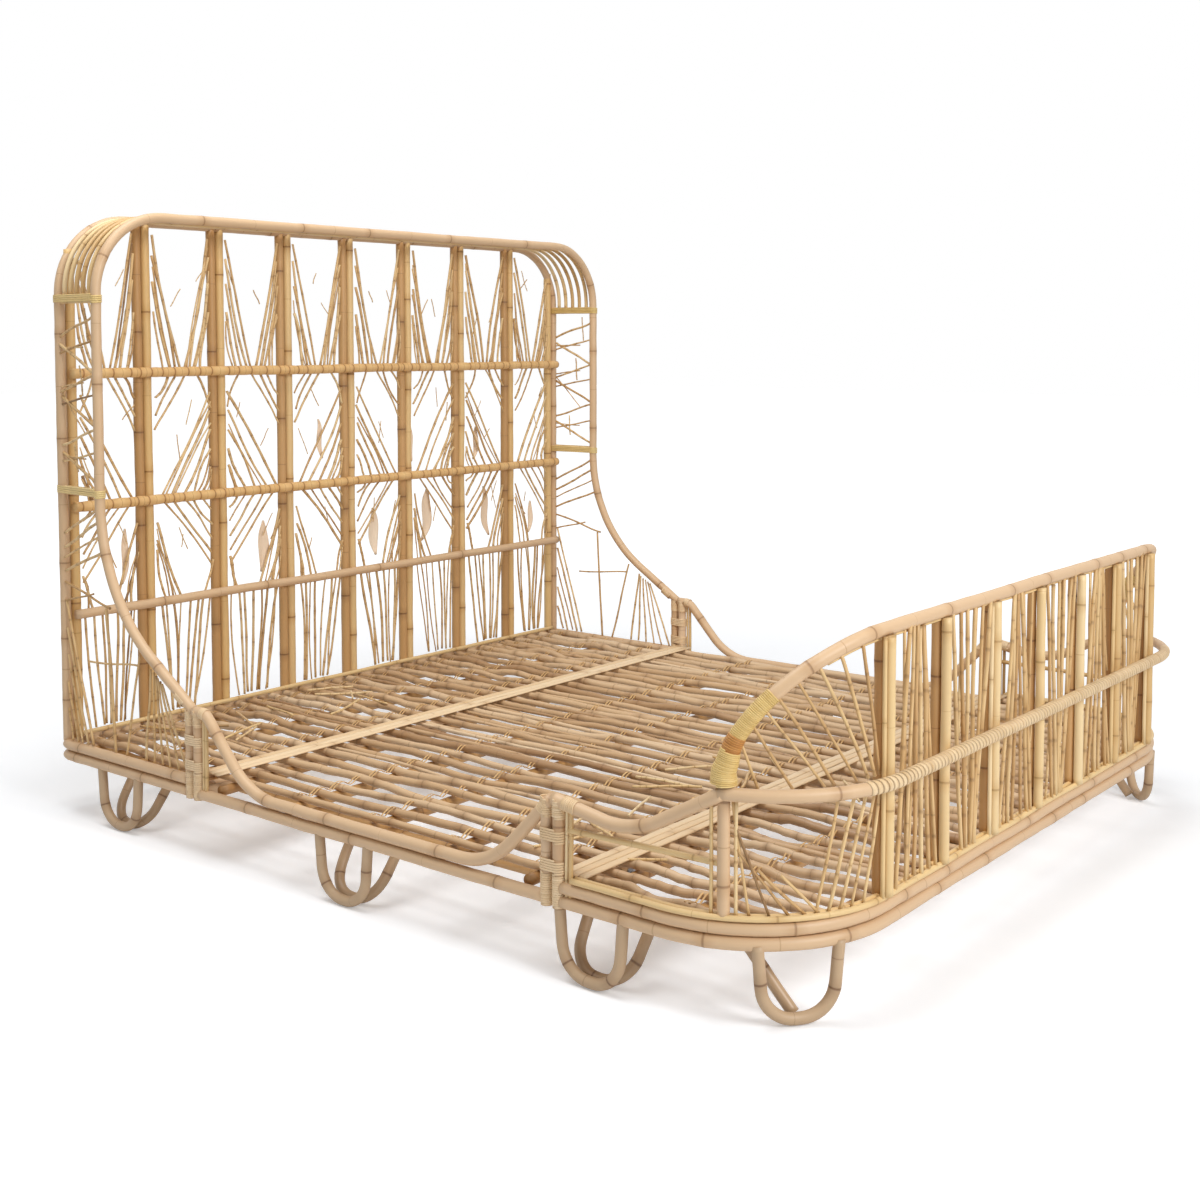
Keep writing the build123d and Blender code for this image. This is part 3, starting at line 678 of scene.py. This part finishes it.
def slip(x, level, tall, wide, lean):
    """A dry leaf slip caught between the sticks: a plane cut into a grid and drawn to its two tips."""
    bpy.ops.object.select_all(action="DESELECT")
    bpy.ops.mesh.primitive_grid_add(x_subdivisions=6, y_subdivisions=16, size=1)
    leaf = bpy.context.object
    for vertex in leaf.data.vertices:
        aside, up = vertex.co.x, vertex.co.y + 0.5
        body = math.sin(math.pi * min(1, up * 1.02) ** 0.75) ** 0.8 * (0.35 + 0.65 * up) + 0.03
        curl = 0.07 * math.sin(up * 5.2) * lean
        hollow = 7 * math.cos(aside * 3) - 5
        vertex.co = Vector((aside * wide * body + curl * tall, hollow, up * tall)) * mm
    leaf.data.transform(Matrix.Translation(Vector((x, stick_plane + 12, level - tall / 2)) * mm)
                        @ Matrix.Rotation(0.22 * lean, 4, "Y"))
    thick = leaf.modifiers.new("thick", "SOLIDIFY")
    thick.thickness = 0.0012
    apply(leaf, thick)
    only(leaf)
    bpy.ops.object.shade_smooth()
    return leaf


slips = ((-340, 634, 150, 58, 0.4), (115, 634, 150, 62, -0.5), (317, 668, 170, 66, 1.0),
         (640, 655, 170, 50, -1.0), (845, 615, 110, 40, 0.6), (275, 905, 120, 44, -0.6),
         (564, 890, 110, 40, 0.8), (-101, 938, 120, 30, -0.8), (-810, 655, 150, 34, 0.5))
finished([slip(*place) for place in slips], "leaf_slips", leaf_look)


# Wings

def mirrored(parts):
    """The same parts on the bed's right side, each with its own mesh turned the right way out."""
    copies = []
    for part in parts:
        mesh = part.data.copy()
        mesh.transform(Matrix.Diagonal((-1, 1, 1, 1)))
        mesh.flip_normals()
        piece = bpy.data.objects.new("cane", mesh)
        bpy.context.collection.objects.link(piece)
        copies.append(piece)
    return parts + copies


binder_blanks = blanks(3, 190, 11.6, joint_gap=160, sides=8)
parts = []
for level in binders:
    for offset in (-6, 6):
        parts.append(laid(binder_blanks[0], (-corner_post, back_plane, level + offset),
                          (-side, hood_front, level + offset)))
finished(mirrored(parts), "wing_sticks", straw, "wing_binder_sticks")
parts = []
for level in binders:
    outline = stadium((-corner_post, back_plane), (-side, hood_front), band_reach)
    parts.append(hoop(outline, 5, 1.6, 4, level - 10))
finished(mirrored(parts), "wing_bands", peel_look, "wing_binder_bands")

rear_y = back_plane - 12


def wing_stick(start_y, start_level, end_y, end_level, thick=1.0):
    parts.append(stick((-side + 4, start_y, start_level), (-side, end_y, end_level), thick, 2))


def pole_level(y):
    """Height of the hood pole's underside over the wing's foot."""
    reach = (y - head_seam) / (hood_front - head_seam)
    return seam_top + 235 * reach ** 1.35 - 8 * (1 - reach)


parts = []
zigzag = (0.02, 0.13, 0.22, 0.34, 0.45, 0.52, 0.63, 0.74, 0.83, 0.96)
high, low = binders
heights = [low + 16 + (high - low - 36) * share for share in zigzag]
for index, (start, end) in enumerate(zip(heights, heights[1:])):
    drop = chance.uniform(-16, 8)
    rear_level, front_level = (start, end + drop) if index % 3 else (end + 22, start)
    wing_stick(rear_y, rear_level, hood_front + 12, front_level, chance.uniform(0.75, 1.05))
    if index % 2:
        wing_stick(rear_y, rear_level + 12, hood_front + 60, front_level - 18, 0.55)
for behind, start, end in ((42, 0.78, 0.95), (70, 0.5, 0.66), (100, 0.1, 0.24)):
    y = hood_front + behind
    wing_stick(y, low + (high - low) * start, y + 8, low + (high - low) * end, 0.6)
for rear_level, front_level, front_y in ((740, 812, 960), (700, 780, 955), (672, 744, 950), (640, 700, 940),
                                         (610, 560, 915), (560, 590, 985), (415, 432, 800)):
    start_y = rear_y if rear_level > 500 else 1010
    wing_stick(start_y, rear_level, front_y, front_level, chance.uniform(0.7, 1.0))
for index in range(5):
    wing_stick(rear_y - 4, 560 - 70 * index, 1000 + 22 * index, 197, chance.uniform(0.7, 1.0))
for index in range(6):
    foot_y = 612 + 33 * index
    head_y = 700 + 9 * index
    wing_stick(foot_y, 197, head_y, pole_level(head_y), chance.uniform(0.7, 1.0))
wing_stick(860, 197, 790, pole_level(790), 0.8)
wing_stick(905, 197, 930, 560, 0.9)
finished(mirrored(parts), "wing_twigs", twig_look, "wing_twigs")


# Deck

for level, name in ((rail_level, "lower"), (ring_level, "upper")):
    ring = [(-side, seam_posts_y[0] + 10, level), (-side, head_plane, level)]
    cane = pole_over(ring, (32, 32), ring_thick, step=6, bow=0.5)
    finished([cane], f"head_ring_{name}_cane", tan, f"head_ring_{name}")
    ring = [(-side, seam_posts_y[3] - 10, level), (-side, foot_plane, level)]
    cane = pole_over(ring, (foot_corner, foot_corner))
    finished([cane], f"foot_ring_{name}_cane", tan, f"foot_ring_{name}")

parts = []
for inset in (-6.5, 6.5):
    x = -side + inset
    edge = [(x, seam_posts_y[3] - 36, trim_level), (x, foot_plane + inset, trim_level)]
    reach = foot_corner - inset
    parts.append(bent_cane(rounded(whole(edge), (reach, reach)), trim_thick, sides=8))
finished(parts, "foot_trim_canes", straw, "foot_trims")

cross_blanks = blanks(4, 1960, 25, joint_gap=300, sides=10, bow=3)
parts = []
for y in seam_posts_y:
    ends = (-side + 6, y, rail_level), (side - 6, y, rail_level)
    parts.append(laid(chance.choice(cross_blanks), *ends, 1.06))
finished(parts, "seam_cross_canes", tan, "end_canes")


def row_places(start_y, end_y, count):
    middle = (start_y + end_y) / 2
    return [middle + offset for offset in spread(count, (end_y - start_y) / 2 - 62)]


def inside_corner(across_by, gap_by):
    return math.sqrt((foot_corner - 14 - gap_by) ** 2 - max(0, across_by) ** 2)


def foot_end(x, width, gap_by):
    return foot_plane + foot_corner - inside_corner(abs(x) + width / 2 - (side - foot_corner), gap_by)


head_rows = row_places(seam_posts_y[0], back_plane - 17, 3)
middle_rows = row_places(seam_posts_y[2], seam_posts_y[1], 5)
foot_rows = row_places(foot_plane, seam_posts_y[3], 3)
parts = []
for y in head_rows + middle_rows + foot_rows:
    reach = side - foot_corner + inside_corner(foot_plane + foot_corner - (y - 13), 0)
    parts.append(laid(chance.choice(cross_blanks), (-reach, y, bearer_level), (reach, y, bearer_level)))
finished(parts, "bearer_canes", brown_and_shade, "deck_bearers")

parts = []
for start_y, end_y in ((seam_posts_y[0] + 14, head_plane - 14), (seam_posts_y[2] + 14, seam_posts_y[1] - 14),
                       (foot_end(stringer_line, 22, 0), seam_posts_y[3] - 14)):
    for x in (-stringer_line, stringer_line):
        parts.append(laid(cross_blanks[0], (x, start_y, stringer_level), (x, end_y, stringer_level), 0.86))
finished(parts, "stringer_canes", brown_and_shade, "deck_stringers")

slat_blanks = blanks(14, 1000, 18, joint_gap=250, sides=9, step=22, rough=0.08, bow=7, joint_rise=0.08)
slat_places = spread(slat_count, side - 50)


def slat_row(name, node, starts, end_y):
    """Round slats, uneven in thickness and a little off straight, with thinner ones between."""
    parts = []
    for x, start_y in zip(slat_places, starts):
        sway = chance.uniform(-5, 5)
        thick = chance.uniform(0.94, 1.24)
        parts.append(laid(chance.choice(slat_blanks), (x + sway, start_y, slat_level),
                          (x + chance.uniform(-5, 5), end_y, slat_level), thick))
        if chance.random() < 0.4 and abs(x) < side - foot_corner + 120:
            offset = x + chance.uniform(22, 38) * (1 if x < 0 else -1)
            blank = chance.choice(slat_blanks)
            start = (offset, start_y + 2, slat_level - 3)
            end = (offset + chance.uniform(-14, 14), end_y, slat_level + 2)
            parts.append(laid(blank, start, end, chance.uniform(0.42, 0.72)))
    finished(parts, name, slat_look, node)


slat_row("head_slat_canes", "head_slats", [head_seam + 2] * slat_count, back_plane - 17)
slat_row("middle_slat_canes", "middle_slats", [foot_seam + 2] * slat_count, head_seam - 2)
slat_row("foot_slat_canes", "foot_slats", [foot_end(x, 18, 3) for x in slat_places], foot_seam - 2)

strip_blanks = blanks(3, 1900, 21.6, joint_gap=420, sides=10, step=40, bow=1, flat=0.3)
parts = []
for edge_y in (head_seam - 1, foot_seam - 1):
    for index in range(3):
        y = edge_y - 22 * (index + 0.5)
        parts.append(laid(strip_blanks[index], (-side + 18, y, 203.5), (side - 18, y, 203.5), rolled=False))
finished(parts, "seam_strips", cream, "deck_beams")

lace_blank = straight_cane(2 * side - 100, 5.0, joint_gap=900, sides=6, step=9, bow=0, flat=0.34)
parts = []
for y in head_rows + middle_rows[:-1] + foot_rows[1:-1]:
    for shift in (-5, 5):
        lace = laid(lace_blank, (-side + 46, y + shift, 200.6), (side - 46, y + shift, 200.6), rolled=False)
        for vertex in lace.data.vertices:
            near = min(abs(vertex.co.x / mm - x) for x in slat_places)
            vertex.co.z -= min(near, 26) ** 2 * 0.018 * mm
        parts.append(lace)
put_away(lace_blank)
finished(parts, "deck_lacing", lace_look, "deck_laces")

parts = []
for _ in range(26):
    x = chance.uniform(-side + 80, -side + 900)
    y = chance.choice((chance.uniform(-1000, -640), chance.uniform(-520, -380), chance.uniform(640, 1060)))
    run = chance.uniform(90, 190)
    lean = chance.uniform(0.3, 2.8)
    reach = (run * math.cos(lean), run * math.sin(lean))
    if y - abs(reach[1]) < -1000 or y + reach[1] > 1080:
        continue
    parts.append(stick((x, y, 204), (x + reach[0], y + reach[1], 203), 0.8, 0))
finished(parts, "stray_deck_sticks", straw)

foot_cane_y = back_plane - 20.5
ends = (-inner_post, foot_cane_y, 206.5), (inner_post, foot_cane_y, 206.5)
part = one_cane(1900, 12.6, *ends, joint_gap=260, sides=8)
finished([part], "head_foot_stick", straw, "head_foot_cane")


# Seams and the middle module

post_blanks = blanks(4, 210, pole_thick, joint_gap=150, sides=14, step=10, bow=0.5)
parts = []
for index, y in enumerate(seam_posts_y):
    parts.append(laid(post_blanks[index], (-side, y, 141), (-side, y, seam_top)))
finished(mirrored(parts), "seam_post_canes", tan, "seam_posts")

light_set = 26
parts = []
for y in (seam_posts_y[1] - light_set, seam_posts_y[3] - light_set):
    for shift, thick in ((-5, 0.62), (5.5, 0.5)):
        place = y + shift
        parts.append(laid(binder_blanks[1], (-side - 2, place, 168), (-side, place, 345), thick * 1.3))
finished(mirrored(parts), "seam_light_canes", straw, "light_posts")

parts = []
for near, far in ((0, 1), (2, 3)):
    for level in (222, 282):
        outline = stadium((-side, seam_posts_y[near]), (-side, seam_posts_y[far]), band_reach)
        parts.append(hoop(outline, 5, 1.7, 5, level - 12))
finished(mirrored(parts), "seam_peel_bands", pale_peel, "seam_bands")

hands = ((1, "left"), (-1, "right"))
for turn, hand in hands:
    x = -turn * side
    ends = (x, seam_posts_y[1] - 6, rail_level), (x, seam_posts_y[2] + 6, rail_level)
    part = one_cane(1092, pole_thick, *ends, joint_gap=330, sides=14)
    finished([part], f"side_rail_{hand}", tan, f"middle_side_rail_{hand}")
    marks = ((head_seam - 2, seam_top), (head_seam - 44, seam_top), (head_seam - 202, ring_level),
             (foot_seam + 168, ring_level), (foot_seam + 2, seam_top))
    points = [(x, y, level) for y, level in marks]
    swoop = bent_cane(rounded(points, (40, 200, 200), 8), pole_thick, sides=14, step=10, joint_gap=300)
    finished([swoop], f"swoop_{hand}", tan, f"middle_swoop_{hand}")

parts = []
for y in seam_posts_y:
    for marks, radius, thick in (((142, 172, 206), 13.6, 1.4), ((316, 330, 350), 13.7, 1.6)):
        parts.append(wound([Vector((-side, y, level)) for level in marks], radius, 4.6, thick))
for y, level, run in ((head_seam + 30, 366, (0, 30, 19)), (head_seam - 27, 352, (0, -18, -3)),
                      (foot_seam + 30, 324, (0, -16, 17)), (foot_seam - 27, 349, (0, -30, -5))):
    start = Vector((-side, y, level))
    parts.append(wound([start, start + Vector(run) / 2, start + Vector(run)], 13.8, 4.6, 1.6))
finished(mirrored(parts), "seam_windings", pale_peel)


# Footboard

def tangent_radii(points):
    """Bend radii that leave a tenth of each run straight."""
    radii = []
    for before, here, after in zip(points, points[1:], points[2:]):
        run_in = Vector(here) - Vector(before)
        run_out = Vector(after) - Vector(here)
        radii.append(0.45 * min(run_in.length, run_out.length) / math.tan(run_in.angle(run_out) / 2))
    return radii


rise = ((26, 515), (37, 592), (54, 658), (76, foot_top - 6))
climb = [(*foot_point(24), mid_level + 4)] + [(*foot_point(angle), level) for angle, level in rise]
climb.append((-side + foot_corner + foot_bay / 2, foot_plane, foot_top))
climb = whole(climb)
top_route = rounded(climb, tangent_radii(climb), 9)
cane = bent_cane(top_route, pole_thick, sides=14, step=10, joint_gap=250)
finished([cane], "foot_top_cane", tan, "foot_top_pole")

turn = math.radians(18)
x = -side + rail_corner * (1 - math.cos(turn))
y = foot_rail_plane + rail_corner * (1 - math.sin(turn))
reach = (y - foot_rail_plane) / math.cos(turn)
corner = [(x - 6 * math.sin(turn), y + 6 * math.cos(turn), mid_level),
          (x + reach * math.sin(turn), foot_rail_plane, mid_level)]
rail_route = rounded(whole(corner), (rail_corner, rail_corner), 12)
core = bent_cane(rail_route, 25.6, sides=14, joint_gap=500)
finished([core], "foot_rail_core", tan, "foot_middle_rail")
front = [place for place in rail_route if abs(place.x) < side - 190]
finished([wound(front, 12.9, 13, 1.9, None, 1.08)], "foot_rail_winding", rail_peel)

for turn, hand in hands:
    points = [(-side, foot_seam - 2, seam_top), (-side, foot_seam - 187, 322), (x, y, mid_level)]
    points = [(turn * a, b, c) for a, b, c in points]
    cane = bent_cane(rounded(points, (200,), 10), pole_thick, sides=14, step=10)
    finished([cane], f"foot_side_pole_{hand}", tan, f"foot_side_cane_{hand}")

post_place = foot_point(24)
parts = [laid(post_blanks[0], (*post_place, 204), (*post_place, 436), 0.9)]
finished(mirrored(parts), "corner_post_canes", tan, "foot_corner_posts")
parts = []
for angle in (19.6, 28.4):
    place = foot_point(angle)
    parts.append(laid(binder_blanks[2], (*place, 204), (*place, 424), 0.62))
finished(mirrored(parts), "corner_edge_canes", straw)

climb_left = [place for place in top_route if place.x < 0]


def climb_between(low, high):
    return [place for place in climb_left if low <= place.z <= high]


flare_route = [Vector((*post_place, 443)), Vector((*post_place, 470)), *climb_between(480, 508)]
parts = [wound(flare_route, 25, 3.6, 2.6, 18.5), wound(climb_between(516, 610), 15.8, 3.6, 2.2, 14.8)]
finished(mirrored(parts), "flare_peel", peel_look, "foot_flares")
band = wound(climb_between(494, 532), 17.6, 4.2, 2.4, 16.6)
finished(mirrored([band]), "flare_band", orange_peel)

stile_xs = spread(7, foot_bay * 3)
# Each foot stile is a pair of canes. The inner cane, behind the outer straw cane, takes the brown finish as
# painted shade.
stile_kinds = ((11, 700, brown_and_shade, "foot_stiles_inner", ()),
               (-11, 694, straw, "foot_stiles_outer", ("foot_stiles",)))
for offset, top, look, name, nodes in stile_kinds:
    parts = []
    y = foot_plane + offset
    for x in stile_xs:
        parts.append(one_cane(500, 21.2, (x, y, 205), (x, y, top), joint_gap=260, sides=12, step=14, bow=1))
    finished(parts, name, look, *nodes)

parts = []
for place in stile_xs:
    for reach in (-17, 17):
        if reach < 0 and chance.random() < 0.35:
            continue
        x = place + reach
        parts.append(laid(binder_blanks[2], (x, foot_plane - 9, 206), (x, foot_plane - 9, 694), 0.78))
finished(parts, "foot_edge_canes", straw)

parts = []
fan_y = foot_plane - 6.5
half = foot_bay / 2 - 22
for index, (left, right) in enumerate(zip(stile_xs, stile_xs[1:])):
    middle = (left + right) / 2
    for share in (-0.8, -0.45, -0.1, 0.28, 0.66, 0.95):
        wide = middle + half * share
        narrow = middle + half * share * 0.3
        foot_x, head_x = (narrow, wide) if index % 2 else (wide, narrow)
        parts.append(stick((foot_x, fan_y, 206), (head_x, fan_y, 698), chance.uniform(0.9, 1.25), 7))
    for _ in range(3):
        low_x = middle + chance.uniform(-0.9, 0.9) * half
        high_x = low_x + chance.uniform(-0.7, 0.7) * half
        high_x = min(max(high_x, middle - half), middle + half)
        low, high = chance.choice(((206, 424), (206, 698), (440, 698)))
        parts.append(stick((low_x, fan_y + 6, low), (high_x, fan_y + 6, high), chance.uniform(0.6, 0.95), 4))
finished(parts, "foot_fan_sticks", twig_look, "foot_fans")


def rise_level(angle):
    marks = [(24, mid_level), *rise, (90, foot_top)]
    for (low_angle, low_mark), (high_angle, high_mark) in zip(marks, marks[1:]):
        if angle <= high_angle:
            return low_mark + (high_mark - low_mark) * (angle - low_angle) / (high_angle - low_angle)
    return foot_top


def corner_stick(low_angle, low, high_angle, high, thick=1.0):
    """A stick over the rounded corner, bent to its curve."""
    count = 6
    route = []
    for index in range(count + 1):
        share = index / count
        angle = low_angle + (high_angle - low_angle) * share
        route.append(Vector((*foot_point(angle), low + (high - low) * share)))
    return bent_cane(route, 7.4 * thick, joint_gap=120, sides=6, step=22, rough=0.05, bow=2, joint_rise=0.12)


parts = []
for head_angle, low_angle in ((29, 36), (33, 48), (37, 60), (42, 64),
                              (49, 74), (57, 80), (66, 84), (76, 87)):
    parts.append(corner_stick(head_angle, rise_level(head_angle) - 4, low_angle, mid_level + 6,
                              chance.uniform(0.75, 1.0)))
for head_angle, head, low_angle in ((27, 420, 33), (28, 372, 40), (28, 330, 47),
                                    (36, 290, 53), (44, 280, 58)):
    parts.append(corner_stick(head_angle, head, low_angle, 206, chance.uniform(0.75, 1.05)))
for low_angle, head_angle in ((62, 74), (67, 80), (72, 85), (78, 88), (57, 66)):
    parts.append(corner_stick(low_angle, 206, head_angle, mid_level - 6, chance.uniform(0.75, 1.05)))
finished(mirrored(parts), "corner_fan_sticks", twig_look, "foot_corner_fans")

ends = (-side, seam_posts_y[3] - 26, 298), (*post_place, 298)
part = one_cane(400, trim_thick, *ends, joint_gap=220, sides=8)
finished(mirrored([part]), "foot_side_sticks", straw, "foot_side_rails")

under = [place - Vector((0, 0, 15)) for place in top_route if abs(place.x) < side - 150]
finished([bent_cane(under, 6, sides=6, step=14)], "top_edge_cane", straw)


# Legs

def bent_leg(origin, across_run, up, top):
    """A hairpin with its bend on the floor."""
    runs = [(-78, top), (-66, 0), (66, 0), (78, top)]
    route = rounded([origin + across_run * a + up * b for a, b in runs], (66, 66), 9)
    return bent_cane(route, leg_thick, sides=12, step=10, joint_gap=150, bow=0.5)


for place, hand in ((884, "head"), (55, "middle"), (-640, "seam")):
    outer = bent_leg(Vector((-side, place, leg_level)), Vector((0, 1, 0)), Vector((0, 0, 1)), 142)
    foot = Vector((-965, place, leg_level))
    lean = Vector((-stringer_line, place, stringer_level)) - foot
    inner = bent_leg(foot, Vector((0, 1, 0)), lean.normalized(), lean.length)
    both = mirrored([outer, inner])
    finished(both[:2], f"leg_{hand}_left_canes", leg_look, f"leg_{hand}_left")
    finished(both[2:], f"leg_{hand}_right_canes", leg_look, f"leg_{hand}_right")
turn = math.radians(51)
inward = Vector((math.cos(turn), math.sin(turn), 0))
foot = Vector((*foot_point(51), leg_level)) + inward * 5.2
outer = bent_leg(foot, Vector((math.sin(turn), -math.cos(turn), 0)), Vector((0, 0, 1)), 142)
start = foot + inward * 25
end = (-stringer_line, start.y + 112, stringer_level)
inner = one_cane(200, leg_thick, start, end, sides=12, joint_gap=150, step=12)
both = mirrored([outer, inner])
finished(both[:2], "leg_corner_left_canes", leg_look, "leg_corner_left")
finished(both[2:], "leg_corner_right_canes", leg_look, "leg_corner_right")

put_away(*short_blanks, *twig_blanks, *binder_blanks, *cross_blanks, *slat_blanks)
put_away(*strip_blanks, *post_blanks)


# Floor, light and camera

floor_look = Finish("pale_floor")
floor_look.shader.inputs["Base Color"].default_value = (0.87, 0.89, 0.92, 1)
floor_look.shader.inputs["Roughness"].default_value = 0.9
floor_look.shader.inputs["Emission Color"].default_value = white
ground = floor_look.add("ShaderNodeTexCoord").outputs["Object"]
distance = floor_look.add("ShaderNodeVectorMath", {"operation": "LENGTH"})
floor_look.feed(distance.inputs[0], ground)
lift = floor_look.range(distance.outputs["Value"], 1.7, 4.5, 0.26, 0.75)
seen = floor_look.add("ShaderNodeLightPath").outputs["Is Camera Ray"]
floor_look.feed(floor_look.shader.inputs["Emission Strength"], floor_look.maths("MULTIPLY", seen, lift))
bpy.ops.object.select_all(action="DESELECT")
bpy.ops.mesh.primitive_plane_add(size=60, location=(0, 0, 0))
floor = bpy.context.object
floor.name = "floor"
floor.data.materials.append(floor_look.material)

world = bpy.data.worlds.new("room")
bpy.context.scene.world = world
world.use_nodes = True
nodes = world.node_tree.nodes
links = world.node_tree.links
nodes.clear()
path = nodes.new("ShaderNodeLightPath")
shows = path.outputs["Is Camera Ray"]
for kind in ("Is Glossy Ray", "Is Transmission Ray"):
    either = nodes.new("ShaderNodeMath")
    either.operation = "ADD"
    either.use_clamp = True
    links.new(shows, either.inputs[0])
    links.new(path.outputs[kind], either.inputs[1])
    shows = either.outputs[0]
mixed = nodes.new("ShaderNodeMixShader")
links.new(shows, mixed.inputs[0])
for socket, strength in ((1, room_light), (2, 1.0)):
    background = nodes.new("ShaderNodeBackground")
    background.inputs[0].default_value = white
    background.inputs[1].default_value = strength
    links.new(background.outputs[0], mixed.inputs[socket])
out = nodes.new("ShaderNodeOutputWorld")
links.new(mixed.outputs[0], out.inputs[0])


def lamp(name, place, aim, size, power):
    light = bpy.data.lights.new(name, "AREA")
    light.size = size
    light.energy = power
    holder = bpy.data.objects.new(name, light)
    holder.location = place
    holder.rotation_euler = (Vector(aim) - Vector(place)).to_track_quat("-Z", "Y").to_euler()
    bpy.context.collection.objects.link(holder)


lamp("overhead", (-1.2, 0.4, 4.4), (0, 0, 0.3), 2.6, 112)
lamp("front", (-1.2, -4.8, 3.0), (0, 0, 0.6), 2.0, 150)

view = bpy.data.cameras.new("view")
view.lens = 46.12
view.sensor_width = 36
view.shift_y = -0.136
eye = bpy.data.objects.new("view", view)
eye.location = (-3.2158, -2.4382, 1.2363)
yaw = 0.8973
pitch = 0.0629
gaze = Vector((math.sin(yaw) * math.cos(pitch), math.cos(yaw) * math.cos(pitch), -math.sin(pitch)))
eye.rotation_euler = gaze.to_track_quat("-Z", "Y").to_euler()
bpy.context.collection.objects.link(eye)
bpy.context.scene.camera = eye
bpy.context.scene.view_settings.view_transform = "Standard"
